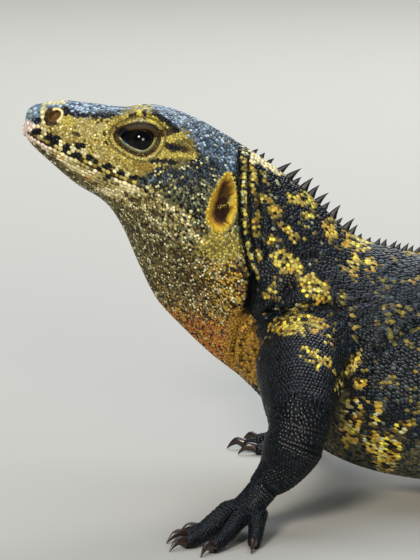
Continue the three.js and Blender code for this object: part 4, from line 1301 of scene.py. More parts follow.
def scale_shape(outline, rim, shoulder, top, lift=0.0):
    """One scale as points [along, across, up] and triangles: a rim, a shoulder within it, a top, and a flat
    underside. rim, shoulder and top are heights, and lift raises the end that points along the lie."""
    outline = np.asarray(outline, float)
    count = len(outline)
    inner = outline * TAPER + outline.mean(0) * (1 - TAPER)
    rims = np.column_stack([outline, np.full(count, rim) + lift * outline[:, 0]])
    shoulders = np.column_stack([inner, np.full(count, shoulder) + lift * inner[:, 0]])
    middle = [*outline.mean(0), top + lift * outline[:, 0].mean()]
    here, ahead = np.arange(count), (np.arange(count) + 1) % count
    triangles = np.concatenate([
        np.stack([here, ahead, count + ahead], 1), np.stack([here, count + ahead, count + here], 1),
        np.stack([count + here, count + ahead, np.full(count, 2 * count)], 1),
        np.stack([np.zeros(count - 2, int), here[2:], here[1:-1]], 1),
    ])
    # Rims are painted darker, as shade between the scales, and the top a little lighter, as a painted
    # highlight.
    shade = np.concatenate([np.full(count, 0.66), np.full(count, 1.0), [1.05]])
    return np.vstack([rims, shoulders, [middle]]), triangles, shade


def round_outline(sides, long=0.56, wide=0.56):
    """An oval as a polygon, its first side square to the lie."""
    angles = np.arange(sides) / sides * TURN + math.pi / sides
    return np.column_stack([np.cos(angles) * long, np.sin(angles) * wide])


GRANULE = scale_shape(round_outline(6), -0.30, 0.48, 0.62, 0.12)
PEBBLE = scale_shape(round_outline(7, 0.58, 0.55), -0.30, 0.62, 0.72)
LEAF = [(0.78, 0), (0.22, 0.52), (-0.42, 0.44), (-0.62, 0), (-0.42, -0.44), (0.22, -0.52)]
DIAMOND = [(0.82, 0), (0.24, 0.52), (-0.50, 0.42), (-0.50, -0.42), (0.24, -0.52)]
SPEAR = [(1.05, 0), (0.15, 0.52), (-0.50, 0.48), (-0.50, -0.48), (0.15, -0.52)]
SHINGLE = scale_shape(LEAF, -0.15, 0.45, 0.85, 0.45)
KEELED = scale_shape(DIAMOND, -0.2, 0.36, 0.80, 0.50)
THORN = scale_shape(SPEAR, -0.2, 0.45, 1.05, 1.3)


def close_pairs(points, gap):
    """Pairs of points nearer to each other than the mean of their gaps, found cell by cell."""
    size = gap.max()
    cells = np.floor(points / size).astype(np.int64)
    cells -= cells.min(0) - 1
    steps = np.array([(cells[:, 1].max() + 3) * (cells[:, 2].max() + 3), cells[:, 2].max() + 3, 1])
    keys = cells @ steps
    order = np.argsort(keys, kind="stable")
    ordered = keys[order]
    found = []
    for offset in np.ndindex(3, 3, 3):
        shift = (np.array(offset) - 1) @ steps
        if shift < 0:
            continue
        low, high = (np.searchsorted(ordered, keys + shift, end) for end in ("left", "right"))
        count = high - low
        first = np.repeat(np.arange(len(points)), count)
        second = order[np.repeat(low - np.cumsum(count) + count, count) + np.arange(count.sum())]
        near = ((points[first] - points[second]) ** 2).sum(1) < ((gap[first] + gap[second]) / 2) ** 2
        near &= (first < second) if shift == 0 else True
        found.append(np.stack([first[near], second[near]]))
    return np.concatenate(found, axis=1)


def scattered(points, triangles, spacing, seed, taken=None, crowd=7):
    """Roots of scales strewn over a surface, no nearer to each other than the spacing there: many random
    places are drawn, and each one that is kept takes out those too near it, as do places already taken.
    Points with no spacing get none."""
    rng = np.random.default_rng(seed)
    gap = spacing[triangles]
    triangles, gap = triangles[(gap > 0).all(1)], gap[(gap > 0).all(1)].mean(1)
    a, b, c = (points[triangles[:, k]] for k in range(3))
    weight = np.linalg.norm(np.cross(b - a, c - a), axis=1) / 2 / gap**2
    running = np.cumsum(weight)
    face = np.searchsorted(running, rng.random(int(running[-1] * crowd)) * running[-1])
    root, across = np.sqrt(rng.random(len(face)))[:, None], rng.random(len(face))[:, None]
    drawn = a[face] * (1 - root) + b[face] * root * (1 - across) + c[face] * root * across
    gap = gap[face]
    rank = rng.permutation(len(drawn))
    before = 0 if taken is None else len(taken)
    if before:
        drawn, gap = np.vstack([taken, drawn]), np.concatenate([np.full(before, gap.mean()), gap])
        rank = np.concatenate([len(rank) + np.arange(before), rank])
    first, second = close_pairs(drawn, gap)
    fresh = (first >= before) | (second >= before)
    first, second = first[fresh], second[fresh]
    alive, kept = np.ones(len(drawn), bool), np.zeros(len(drawn), bool)
    while alive.any():
        beaten = np.zeros(len(drawn), bool)
        beaten[np.where(rank[first] < rank[second], first, second)] = True
        winners = alive & ~beaten
        kept |= winners
        alive &= ~winners
        alive[second[winners[first]]] = False
        alive[first[winners[second]]] = False
        still = alive[first] & alive[second]
        first, second = first[still], second[still]
    kept[:before] = False
    return drawn[kept], gap[kept]


# -------------------- the skin as others see it


class Surface:
    """The finished skin, in drawn millimetres, with a tree to look places up in."""

    def __init__(self, skin):
        points, self.triangles, self.normals = arrays_of(skin.data)
        self.points = (points - drawn_origin()) / MM
        self.tree = tree_of(self.points, self.triangles)

    def nearest(self, at):
        """The nearest places on the skin, the smooth normals there and how far off they were."""
        hits = [self.tree.find_nearest(point) for point in at.tolist()]
        found = np.array([hit[0] for hit in hits])
        corners = self.triangles[[hit[2] for hit in hits]]
        a, b, c = (self.points[corners[:, k]] for k in range(3))
        full = np.linalg.norm(np.cross(b - a, c - a), axis=1)
        parts = [np.cross(q - found, r - found) for q, r in ((b, c), (c, a), (a, b))]
        shares = np.stack([np.linalg.norm(part, axis=1) for part in parts], 1)
        shares = shares / np.maximum(full, 1e-9)[:, None]
        normals = unit((self.normals[corners] * shares[..., None]).sum(1))
        return found, normals, np.array([hit[3] for hit in hits])

    def beside(self, flat, side):
        """The places on one side of the animal that points of the side drawing stand for."""
        y = np.full(len(flat), 15.0)
        for _ in range(4):
            nearer = EYE_DISTANCE / (EYE_DISTANCE - y)
            x = DRAWING_MIDDLE[0] + (flat[:, 0] - DRAWING_MIDDLE[0]) / nearer
            height = (flat[:, 1] - DRAWING_MIDDLE[1]) / nearer + y * math.sin(EYE_RISE)
            z = DRAWING_MIDDLE[1] + height / math.cos(EYE_RISE)
            starts = np.column_stack([x, np.full(len(flat), side * 90.0), z])
            hits = [self.tree.ray_cast(start, (0, -side, 0))[0] for start in starts.tolist()]
            y = np.array([old if hit is None else abs(hit[1]) for hit, old in zip(hits, y)])
        return np.column_stack([x, side * y, z])


class Unwrap:
    """The body's plain rings laid out flat: how far along it and how far round it any place lies."""

    COLUMNS = 120

    def __init__(self):
        self.stations = spaced(body_rings, 0, TAIL_START, [(0, 1.0), (TAIL_START, 1.6)])
        self.rings = columned(body_rings(self.stations), self.COLUMNS)
        points, triangles = closed_grid(self.rings)
        self.tree = tree_of(points, triangles)
        along = np.gradient(self.rings, axis=0)
        self.along = unit(along).reshape(-1, 3)
        self.points = self.rings.reshape(-1, 3)

    def find(self, at):
        """Each place's station, its share of the way round, the body's lie there, and how far off it is."""
        hits = [self.tree.find_nearest(point) for point in at.tolist()]
        quads = (len(self.stations) - 1) * self.COLUMNS
        quad = np.minimum(np.array([hit[2] for hit in hits]) % quads, quads - 1)
        row, column = quad // self.COLUMNS, quad % self.COLUMNS
        off = np.array([hit[3] for hit in hits])
        return self.stations[row], (column + 0.5) / self.COLUMNS, self.along[quad], off


@functools.cache
def surface():
    """The skin as built, which every other piece is laid on."""
    if "skin" not in bpy.data.objects:
        raise RuntimeError("Build the skin first")
    return Surface(bpy.data.objects["skin"])


@functools.cache
def unwrap():
    """The body's rings, which never change."""
    return Unwrap()


# -------------------- coats of scales

SIDE_NAMES = {-1: "left", 1: "right"}

SCALE_PATCH = 0.003  # size of a scale's patch on the map
MOST_TRIANGLES = 199000
FILLING_GAP = 1.25
HEAD_COAT_END = 11.6  # station where granules give way to rows
BODY_REACH = 3.5  # skin farther than this from the body's rings belongs to a leg
NECK_BACK = 86
LABIALS_FROM = 4.5  # where along the snout the plates of the lips begin and end
LABIALS_TO = 47
LABIAL_ROOM = (3.9, 5.5)  # how far the plates reach above and below the mouth
# Rows along the mouth: how far above it, the length and width of their scales, and the row's shift.
JAW_ROWS = [
    (0.85, 1.8, 1.5, 0.0), (2.1, 1.6, 1.3, 0.5), (3.25, 1.5, 1.2, 0.2), (-0.75, 1.7, 1.4, 0.4),
    (-1.95, 1.6, 1.2, 0.1), (-3.0, 1.5, 1.15, 0.6), (-4.0, 1.4, 1.1, 0.2), (-4.95, 1.3, 1.0, 0.5),
]
# The length of each leg part's first and last scales, against the upper leg's first.
LEG_SCALE_SHARES = [(1.0, 0.966), (0.966, 0.9), (0.86, 0.83)]
COATED_TAIL = 0.985
THIN_TAIL = 0.6  # share of the tail from which whorls draw together and scales are broader for it


class Roots:
    """Where scales grow: place, normal, lie, length, width, rise and place on the unwrap, as arrays."""

    KEYS = ("at", "normal", "lie", "long", "wide", "rise", "flat")

    def __init__(self, **arrays):
        for key in self.KEYS:
            setattr(self, key, arrays[key])

    def only(self, keep):
        """The roots that a mask keeps."""
        return Roots(**{key: getattr(self, key)[keep] for key in self.KEYS})

    def __len__(self):
        """How many scales grow here."""
        return len(self.at)


def rooted(at, lie, long, wide, rise, flat, reach=2.0):
    """Scales seated on the skin. Those that find no skin within reach are left off."""
    found, normals, off = surface().nearest(at)
    whole = np.ones(len(at))
    long, wide, rise = long * whole, wide * whole, rise * whole
    made = Roots(at=found, normal=normals, lie=lie, long=long, wide=wide, rise=rise, flat=flat)
    return made.only(off < reach)


def rows_on(rings_at, first, last, long, wide):
    """Places in rows round a tube, each row set half a scale on from the last: [place, lie, long, wide,
    station and share], with lengths and widths given as [at first, at last]."""
    stations = spaced(rings_at, first, last, [(first, long[0]), (last, long[1])])
    rings, ahead = rings_at(stations), rings_at(stations + 0.01 * np.sign(last - first))
    perimeter = np.linalg.norm(np.diff(rings, axis=1), axis=-1).sum(1)
    t = (stations - first) / (last - first)
    wides, longs = wide[0] + (wide[1] - wide[0]) * t, long[0] + (long[1] - long[0]) * t
    plain = perimeter / wides
    step = np.where(plain > 90, 12, np.where(plain > 24, 4, 2))  # rows of one count stay half a scale apart
    counts = np.maximum(np.round(plain / step) * step, 6).astype(int)
    row = np.repeat(np.arange(len(stations)), counts)
    first_of_row = np.repeat(np.cumsum(counts) - counts, counts)
    share = (np.arange(len(row)) - first_of_row + 0.5 * (row % 2) + 0.25) / counts[row] % 1
    length = travelled(rings)
    length /= length[:, -1:]
    # One long ladder of rising numbers reads every row in a single interpolation.
    ladder, wanted = (length + 2 * np.arange(len(rings))[:, None]).ravel(), share + 2 * row
    at = np.stack([np.interp(wanted, ladder, rings[..., k].ravel()) for k in range(3)], 1)
    onward = np.stack([np.interp(wanted, ladder, ahead[..., k].ravel()) for k in range(3)], 1)
    return at, unit(onward - at), longs[row], wides[row], np.stack([stations[row], share], 1)


def on_map(places):
    """Places on a piece's map, drawn in a little from its edges."""
    return places * 0.98 + 0.01


def coat(name, groups, seed):
    """One coat piece from groups of roots, each with the shape of its scales. Every scale stands at its root,
    turned to its lie, and carries its root's markings, with painted shade at its rim and a faint painted
    highlight on its top. Its patch on the map lies at its root's place."""
    solids, colours, flats = [], [], []
    rng = np.random.default_rng(seed)
    for roots, (shape, triangles, shade) in groups:
        if not len(roots):
            continue
        normal = unit(roots.normal + rng.normal(0, 0.07, roots.normal.shape))
        across = unit(np.cross(normal, roots.lie))
        along = np.cross(across, normal)
        turn = rng.normal(0, 0.12, len(roots))[:, None]
        cos, sin = np.cos(turn), np.sin(turn)
        along, across = along * cos + across * sin, across * cos - along * sin
        size = 1 + rng.normal(0, 0.07, (len(roots), 1))
        points = (
            roots.at[:, None]
            + along[:, None] * (shape[:, 0] * size * roots.long[:, None])[..., None]
            + across[:, None] * (shape[:, 1] * size * roots.wide[:, None])[..., None]
            + normal[:, None] * (shape[:, 2] * size * roots.rise[:, None])[..., None]
        )
        starts = len(shape) * np.arange(len(roots))[:, None, None]
        solids.append((points.reshape(-1, 3), (triangles + starts).reshape(-1, 3)))
        colours.append((markings(roots.at, roots.normal, seed)[:, None] * shade[:, None]).reshape(-1, 3))
        flats.append((on_map(roots.flat)[:, None] + shape[:, :2] * SCALE_PATCH).reshape(-1, 2))
    points, triangles = gathered(solids)
    points[:, 2] = np.maximum(points[:, 2], 0)
    if len(triangles) > MOST_TRIANGLES:
        raise RuntimeError(f"{name} has {len(triangles)} triangles")
    made = finished(name, points, triangles, np.concatenate(colours), keratin_scales())
    mapped(made, np.concatenate(flats), triangles)


def finished(name, points, triangles, colours, material):
    """A finished piece that rides the root, in place of any older one: its mesh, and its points' linear colours
    as the attribute that its material reads."""
    if name in bpy.data.objects:
        drop(bpy.data.objects[name])
    made = mesh_object(name, points, triangles)
    colour_mesh(made, colours)
    made.data.materials.append(material)
    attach(made, "root")
    return made


def mapped(made, flats, triangles):
    """Lays the map that the coat's markings are baked to: one place on it for each point."""
    layer = made.data.uv_layers.new(name="OFBake")
    layer.uv.foreach_set("vector", flats[triangles.ravel()].astype(np.float32).ravel())


def colour_mesh(made, colours):
    """Lays linear colours on a mesh, one for each point."""
    rgba = np.column_stack([colours, np.ones(len(colours))]).astype(np.float32)
    made.data.attributes.new("markings", "FLOAT_COLOR", "POINT").data.foreach_set("color", rgba.ravel())


def parted(roots, *shares):
    """Roots parted by what each share says, in order; what none of them takes comes last."""
    left, parts = np.ones(len(roots), bool), []
    for share in shares:
        parts.append(roots.only(left & share))
        left &= ~share
    return [*parts, roots.only(left)]


def head_gaps(points, normals, station, off):
    """How far apart granules stand on the head and neck, in millimetres: widest on the nose and crown, finest
    on lids and throat, and none where rows of plates or the trunk's rows take over."""
    flat = on_side_drawing(points)
    x, z = flat.T
    top, sideways = normals[:, 2], np.abs(normals[:, 1])
    gap = np.full(len(points), chosen("neck_granule"))

    def lay(value, mask):
        nonlocal gap
        gap = gap + (value - gap) * smoothstep(mask, -0.15, 0.15)

    lay(0.86, (fold_at(z) - x) * 0.1 - 0.1)
    lay(chosen("face_granule"), np.minimum(above(flat, JAW_LOWER_EDGE), fold_at(z) - x) * 0.3)
    lay(chosen("throat_granule"), np.minimum(-above(flat, JAW_LOWER_EDGE), 76 - x) * 0.3)
    lay(0.98, blot(flat, (61, 106), (13, 8), -38) + 0.1)
    lay(chosen("crown_granule"), np.minimum(top - 0.62, (82 - x) * 0.1))
    lay(chosen("nose_granule"), np.minimum(blot(flat, (3, 145), (9, 6)), 0.5))
    beside_eye = (x > 25) & (x < 62) & (z > 118) & (sideways > 0.2)
    from_lids = np.where(beside_eye, lid_distance(points), FAR)
    lay(chosen("lid_granule"), (4.4 - from_lids) * 0.2)
    plates = (sideways > 0.25) & (x > LABIALS_FROM) & (x < LABIALS_TO)
    plates &= line_distance(flat, MOUTH)[0] < np.where(above(flat, MOUTH) > 0, *LABIAL_ROOM)
    bare = from_lids < np.where(points[:, 2] > EYE_AT[2] + UPPER_LID_FROM, 1.5, 0.9)
    bare |= (ear_distance(points, 12) < 0.1) | (nostril_distance(points) < 0.9)
    elsewhere = (station > HEAD_COAT_END) | (off > BODY_REACH)
    return np.where(bare | plates | elsewhere, 0, gap)


def fold_at(z):
    """How far back the fold on the neck lies at each height of the side drawing."""
    line = np.array(NECK_FOLD)[::-1]
    return np.where(z > 131, 81, np.where(z < 47, 78 + (z - 30) * 0.2, np.interp(z, line[:, 1], line[:, 0])))


@functools.cache
def head_roots():
    """Roots over the head, throat and neck, strewn finer and coarser."""
    skin, flat_of = surface(), unwrap()
    station, _, _, off = flat_of.find(skin.points)
    gap = head_gaps(skin.points, skin.normals, station, off)
    at, gap = scattered(skin.points, skin.triangles, gap, 5)
    station, share, lie, _ = flat_of.find(at)
    flat = on_side_drawing(at)
    grown = 1 + 0.16 * smoothstep(flat[:, 0] - fold_at(flat[:, 1]), -2, 2)
    size, flat = gap * grown, np.stack([station / HEAD_COAT_END, share], 1)
    return rooted(at, lie, size * 1.32, size * 1.25, gap * 0.26, flat)


def lip_roots(side):
    """Rows of plates along the lips and down the lower jaw: the roots of each row."""
    line = row_at(np.array(MOUTH), np.linspace(0.85, len(MOUTH) - 1, 400))
    reach = travelled(line)
    square = unit(np.gradient(line, axis=0))[:, ::-1] * (-1, 1)
    made, rng = [], np.random.default_rng(6)
    for offset, long, wide, shift in JAW_ROWS:
        places = np.arange(0.6 + shift * long, reach[-1] + 1, long)
        places = places + rng.normal(0, 0.13, len(places))
        at = np.stack([np.interp(places, reach, (line + square * offset)[:, k]) for k in range(2)], 1)
        at = at + rng.normal(0, 0.10, at.shape)
        root = surface().beside(at, side)
        onward = surface().beside(at + (0.9, -0.45), side)
        station, share, _, _ = unwrap().find(root)
        flat = np.stack([station / HEAD_COAT_END, share], 1)
        made.append(rooted(root, unit(onward - root), long * 1.08, wide * 1.05, 0.22, flat))
    return made


def on_shoulder(points):
    """How far inside the soft part over the upper arm places lie, where granules take over from rows."""
    return blot(on_side_drawing(points), (104, 69), (17, 11), -5)


@functools.cache
def trunk_roots():
    """Rows of shingles round the shoulders, trunk and hips."""
    front, rear = chosen("front_scale"), chosen("rear_scale")
    start = HEAD_COAT_END - 0.1
    at, lie, long, wide, flat = rows_on(body_rings, start, TAIL_START, (front, rear), (front, rear * 0.96))
    flat = np.stack([(flat[:, 0] - start) / (TAIL_START - start), flat[:, 1]], 1)
    rng = np.random.default_rng(8)
    loose = 0.13 + 0.11 * (1 - smoothstep(at[:, 0], 110, 150))
    at = at + rng.normal(0, 1, at.shape) * (wide * loose)[:, None]
    made = rooted(at, lie, long * 1.35, wide * 1.2, 0.5 * np.sqrt(wide / 2), flat, reach=2.2)
    return made.only(on_shoulder(made.at) + rng.normal(0, 0.08, len(made)) < 0)


@functools.cache
def leg_roots(name):
    """Rows of keeled scales down one leg, and of smaller ones over its foot and digits: [leg, digits]."""
    lengths, digits = [], []
    for k, (rows, shares) in enumerate(zip(LEGS[name]["rows"], LEG_SCALE_SHARES)):
        span = np.array(shares) * chosen("leg_scale")
        rows = np.array(rows, float)
        rings_at = functools.partial(tube_rings, rows)
        at, lie, long, wide, flat = rows_on(rings_at, -0.15, len(rows) - 0.85, span, span)
        flat = np.stack([(k + 0.05 + 0.9 * np.clip(flat[:, 0] / (len(rows) - 1), 0, 1)) / 8, flat[:, 1]], 1)
        lengths.append(rooted(at, lie, long * 1.3, wide * 1.12, 0.40, flat, reach=1.5))
    for index in range(5):
        rings_at = functools.partial(tube_rings, digit_rows(name, index))
        at, lie, long, wide, flat = rows_on(rings_at, 0.1, 3.1, (1.5, 1.35), (1.35, 1.15))
        flat = np.stack([(3 + index + 0.05 + 0.9 * flat[:, 0] / 3.1) / 8, flat[:, 1]], 1)
        digits.append(rooted(at, lie, long * 1.25, wide * 1.1, 0.36, flat, reach=0.9))
    return lengths, digits


def filling_roots(taken):
    """Roots that fill what the rows leave bare where legs, body and tail meet."""
    skin, start = surface(), HEAD_COAT_END - 0.1
    station, _, _, off = unwrap().find(skin.points)
    x, far = skin.points[:, 0], off > BODY_REACH
    gap = np.where((station > HEAD_COAT_END + 0.05) | (far & (x > NECK_BACK)), FILLING_GAP, 0.0)
    gap = np.where(x > SECTIONS[TAIL_START][0] + 12, 0, gap)
    gap = np.where((skin.points[:, 2] < 6) & far, 1.1, gap) * (gap > 0)
    gap = np.where((gap > 0) & (on_shoulder(skin.points) > -0.1), 1.15, gap)
    at, gap = scattered(skin.points, skin.triangles, gap, 9, taken)
    station, share, lie, off = unwrap().find(at)
    off_body = off > 6
    lie = np.where(off_body[:, None], (-0.25, 0, -1.0), lie)
    flat = np.stack([(station - start) / (TAIL_START - start), share], 1).clip(0, 1)
    return rooted(at, lie, gap * 1.5, gap * 1.38, 0.38, flat)


@functools.cache
def tail_roots():
    """Whorls of the tail, each with rows of small scales before its row of thorns: [thorns, small scales]."""
    whorls, share = [], 0.0
    first_spike = chosen("thorn_length")
    while share < COATED_TAIL:
        whorls.append(share)
        pitch = WHORL_PITCH[0] + (WHORL_PITCH[1] - WHORL_PITCH[0]) * share
        share += pitch / TAIL_LENGTH * (0.8 if share < THIN_TAIL else 0.6)
    thorns, smalls = [], []
    for number, (here, after) in enumerate(zip(whorls, [*whorls[1:], COATED_TAIL])):
        radius = tail_radius(np.array([here]))[0]
        pitch = (after - here) * TAIL_LENGTH
        wide = max(radius * 0.33, 0.95) if here < THIN_TAIL else max(radius * 0.42, 0.8)
        rows = [(0.16, 0.24, wide * 0.62), (0.4, 0.24, wide * 0.62), (0.78, 0.5, wide)]
        for row, (at_share, length, width) in enumerate(rows):
            station = np.array([here + (after - here) * at_share])
            ring = tail_rings(station)
            perimeter = np.linalg.norm(np.diff(ring, axis=1), axis=-1).sum()
            count = max(round(perimeter / width), 5)
            shares = ((np.arange(count) + 0.5 * ((row + number) % 2) + 0.25) / count) % 1
            at = round_share(ring, shares)[0]
            ahead = round_share(tail_rings(station + 0.002), shares)[0]
            flat = np.stack([np.full(count, min(station[0], 1.0)), shares], 1)
            spike = first_spike + (WHORL_SPIKE_END - first_spike) * math.sqrt(here)
            rise = spike * 0.42 if row == 2 else 0.5 * width**0.5 * 0.8
            made = rooted(at, unit(ahead - at), pitch * length * 1.15, width * 1.08, rise, flat)
            (thorns if row == 2 else smalls).append(made)
    return thorns, smalls


# Spines of the crest on the nape and shoulders: how far back each stands, and its height. Behind them the
# crest runs on evenly: first and last place, and the height and pitch at each.
CREST = [
    (85.9, 1.5), (88.6, 1.8), (91.4, 1.9), (95.4, 4.1), (98.7, 4.5), (101.4, 2.3), (104.2, 5.1),
    (106.9, 4.7), (109.3, 4.2), (112.0, 2.8), (114.9, 4.9), (117.2, 1.9), (119.6, 4.6), (121.9, 3.5),
    (125.2, 1.5), (128.6, 1.4), (131.9, 2.2), (134.3, 2.5), (137.2, 2.6), (139.4, 2.2), (141.9, 2.7),
    (144.2, 2.3), (146.6, 2.6),
]
CREST_BEHIND = (149.2, 286, 2.8, 1.8, 2.9, 4.6)


def crest_piece():
    """The crest: flat, pointed spines along the back, each bent backwards: rings of a cone whose middle line
    leans more the higher it goes."""
    rng = np.random.default_rng(7)
    first, last, high, low, narrow, broad = CREST_BEHIND
    share = np.linspace(0, 1, int((last - first) * 2 / (narrow + broad))) ** 1.15
    evenly = first + (last - first) * share + rng.normal(0, 0.25, len(share))
    places = np.concatenate([np.array(CREST)[:, 0], evenly])
    behind = (high + (low - high) * share) * rng.uniform(0.7, 1.15, len(share))
    drawn = np.array(CREST)[:, 1]
    heights = np.concatenate([drawn * chosen("crest_height") / drawn.max(), behind])
    fine = np.linspace(7, 18, 600)
    stations = np.interp(places, row_at(SECTIONS, fine)[:, 0], fine)
    _, root, belly = back_and_belly(stations)
    up = unit(root - belly)
    back = np.stack([up[:, 2], up[:, 1], -up[:, 0]], 1)
    levels, angles = np.linspace(0, 1, 8), np.arange(10) / 10 * TURN
    high = levels[None, :, None]
    middle = root[:, None] + up[:, None] * ((high * 1.35 - 0.35) * heights[:, None, None])
    lean = rng.uniform(-0.05, 0.5, len(heights))[:, None, None]
    middle = middle + back[:, None] * (((0.16 + lean) * high + 0.42 * high**2) * heights[:, None, None])
    girth = (1 - levels**1.3)[None, :, None, None] * (heights * 0.27 + 0.45)[:, None, None, None] + 0.04
    shape = back[:, None, None] * np.cos(angles)[None, None, :, None] * girth * 1.2
    shape = shape + np.array([0.0, 1.0, 0.0]) * np.sin(angles)[None, None, :, None] * girth * 0.62
    spines = middle[:, :, None] + shape
    solids, flats = [closed_grid(rings) for rings in spines], []
    for number, (spine, _) in enumerate(solids):
        across = np.column_stack([(spine - spines[number, 0].mean(0)) @ back[number], spine[:, 1]])
        flats.append(on_map(np.array([number / len(spines), 0.5])) + across / 6 * SCALE_PATCH)
    points, triangles = gathered(solids)
    streak = noise(points * (1, 1, 0.4), 0.8, 21)[:, None]
    # Black spines, streaked lighter, with a faint blue from the slate as a painted sheen.
    colours = chosen_colour("black") * (0.6 + 0.6 * streak) + chosen_colour("slate") * 0.03 * streak
    made = finished("crest_spines", points, triangles, colours, keratin_scales())
    mapped(made, np.concatenate(flats), triangles)


# -------------------- eyes, claws, eardrums

GAZE = (0.07, 1.0, 0.12)
EYE_COLUMNS = 72
CLAW_COLUMNS = 16


def eye_piece(side):
    """One eye: a ball round its gaze, bulging as the cornea does, with a dark iris round a black pupil."""
    iris_angle, pupil_angle = chosen("iris"), chosen("pupil")
    gaze = unit(mirrored_to(side, np.array(GAZE)))
    across = unit(np.cross(gaze, (0, 0, 1.0)))
    over = np.cross(across, gaze)
    front = np.linspace(0.02, iris_angle * 1.2, 40)
    angle = np.concatenate([front, np.linspace(front[-1], math.pi - 0.02, 30)[1:]])
    turn = np.arange(EYE_COLUMNS) / EYE_COLUMNS * TURN
    bulge = 0.45 * np.clip(1 - (angle / (iris_angle * 1.1)) ** 2, 0, 1) ** 1.5
    far = (EYE_RADIUS + bulge - 0.05)[:, None, None]
    round_gaze = np.cos(turn)[None, :, None] * across + np.sin(turn)[None, :, None] * over
    direction = np.cos(angle)[:, None, None] * gaze + np.sin(angle)[:, None, None] * round_gaze
    points, triangles = closed_grid(mirrored_to(side, EYE_AT) + direction * far)
    each = np.repeat(angle, EYE_COLUMNS)
    angles = np.concatenate([each, [0, math.pi]])
    around = np.tile(turn, len(angle))
    rays = noise(np.column_stack([np.cos(around) * 9, np.sin(around) * 9, each * 4]), 0.9, 31)
    rays = np.concatenate([rays, [0.5, 0.5]])
    iris = chosen_colour("umber") * (0.05 + 0.16 * rays)[:, None]
    ring = np.exp(-(((angles - pupil_angle * 1.12) / 0.035) ** 2))[:, None]
    iris = iris + chosen_colour("lid") * 0.05 * ring
    pupil = smoothstep(angles, pupil_angle - 0.02, pupil_angle + 0.03)[:, None]
    outer = smoothstep(angles, iris_angle - 0.10, iris_angle + 0.02)[:, None]
    black = chosen_colour("black")
    colours = black * 0.25 * (1 - pupil) + iris * pupil * (1 - outer) + black * 0.6 * outer
    made = finished(f"eyeball_{SIDE_NAMES[side]}", points, triangles, colours, wet_eye())
    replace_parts(made, f"eye_{SIDE_NAMES[side]}")


def claw_pieces(name):
    """The five claws of one foot: tubes that taper along the claw's path, deeper than wide, and hook down."""
    claws = []
    for index in range(5):
        path = digit_path(name, index)
        radii = np.array([1, 1, 1, *CLAW_RADII]) * 1.02
        rows = np.column_stack([path, radii * 0.72, radii])
        stations = np.linspace(2.93, 5, 22)
        rings = tube_rings(rows, stations)
        bend = np.sin(np.clip((stations - 3) / 2, 0, 1) * math.pi)[:, None, None] * np.array([0, 0, 0.8])
        claws.append(closed_grid(columned(domed(rings + bend, 0.3, 0.4), CLAW_COLUMNS)))
    points, triangles = gathered(claws)
    points[:, 2] = np.maximum(points[:, 2], 0)
    count = len(points) // 5
    tip = np.tile(np.linspace(0, 1, count), 5)[:, None]
    streak = noise(points * (0.5, 0.5, 2), 1.2, 41)[:, None]
    colours = chosen_colour("pit") * (0.7 + 0.8 * streak) * (1 - 0.5 * tip)
    colours = colours + chosen_colour("black") * 0.5 * tip
    made = finished(f"claws_{name}", points, triangles, colours, horn_claw())
    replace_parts(made, *[f"claw_{name}_{index + 1}" for index in range(5)])


def eardrum_piece(side):
    """One eardrum: a thin, slightly hollow oval membrane on the floor of the ear's pit."""
    rings = np.linspace(0.02, 1, 12)[:, None]
    turn = np.arange(40)[None] / 40 * TURN
    along = np.cos(turn) * rings * EARDRUM_HALF[0] * 0.8
    height = np.sin(turn) * rings * EARDRUM_HALF[2] * 0.5 - 2.2
    x, z = leaned(along, height, -EAR_LEAN)
    x, z = x + EAR_AT[0], z + EAR_AT[2]
    starts = np.stack([x, np.full(x.shape, side * 60.0), z], -1).reshape(-1, 3)
    hits = [surface().tree.ray_cast(start, (0, -side, 0))[0] for start in starts.tolist()]
    y = np.array([abs(hit[1]) for hit in hits]).reshape(x.shape) + 0.12 - 0.10 * (1 - rings**2)
    front = np.stack([x, side * y, z], -1)
    back = front[::-1] - (0, side * 0.6, 0)
    points, triangles = closed_grid(np.concatenate([front, back]))
    vein = noise(points * (1, 1, 0.5), 1.1, 51)[:, None]
    # The eardrum takes the pit's dark, with real veins: painted shade of the ear's depth.
    colours = chosen_colour("pit") * (0.5 + 0.6 * vein)
    made = finished(f"eardrum_{SIDE_NAMES[side]}", points, triangles, colours, membrane())
    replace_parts(made, f"ear_{SIDE_NAMES[side]}")


# -------------------- materials


def node(tree, kind, settings=None, links=None):
    """Adds a node, with settings for its properties and sockets, and links from other nodes to its inputs."""
    made = tree.nodes.new(kind)
    for key, value in (settings or {}).items():
        if isinstance(key, str) and hasattr(made, key):
            setattr(made, key, value)
        else:
            made.inputs[key].default_value = value
    for key, source in (links or {}).items():
        tree.links.new(source, made.inputs[key])
    return made


def new_material(name, settings, build=None):
    """A Principled material with plain settings, and what build(tree, shader) adds to it."""
    made = bpy.data.materials.get(name)
    if made:
        return made
    made = bpy.data.materials.new(name)
    made.use_nodes = True
    tree = made.node_tree
    shader = tree.nodes["Principled BSDF"]
    for key, value in settings.items():
        shader.inputs[key].default_value = value
    if build:
        build(tree, shader)
    return made


def marked(tree, shader):
    """The markings laid on the mesh give the colour."""
    colour = node(tree, "ShaderNodeAttribute", {"attribute_name": "markings"})
    tree.links.new(colour.outputs["Color"], shader.inputs["Base Color"])


def grain_of(tree, size):
    """Noise on the object's own coordinates, with grains of a size in millimetres."""
    place_in = node(tree, "ShaderNodeTexCoord")
    settings = {"Scale": 1 / (size * MM), "Detail": 3.0}
    return node(tree, "ShaderNodeTexNoise", settings, {"Vector": place_in.outputs["Object"]})


def bumped(tree, shader, size, strength):
    """Fine bumps, 0.2 mm deep at full strength."""
    height = {"Height": grain_of(tree, size).outputs["Fac"]}
    bump = node(tree, "ShaderNodeBump", {"Strength": strength, "Distance": 0.2 * MM}, height)
    tree.links.new(bump.outputs["Normal"], shader.inputs["Normal"])


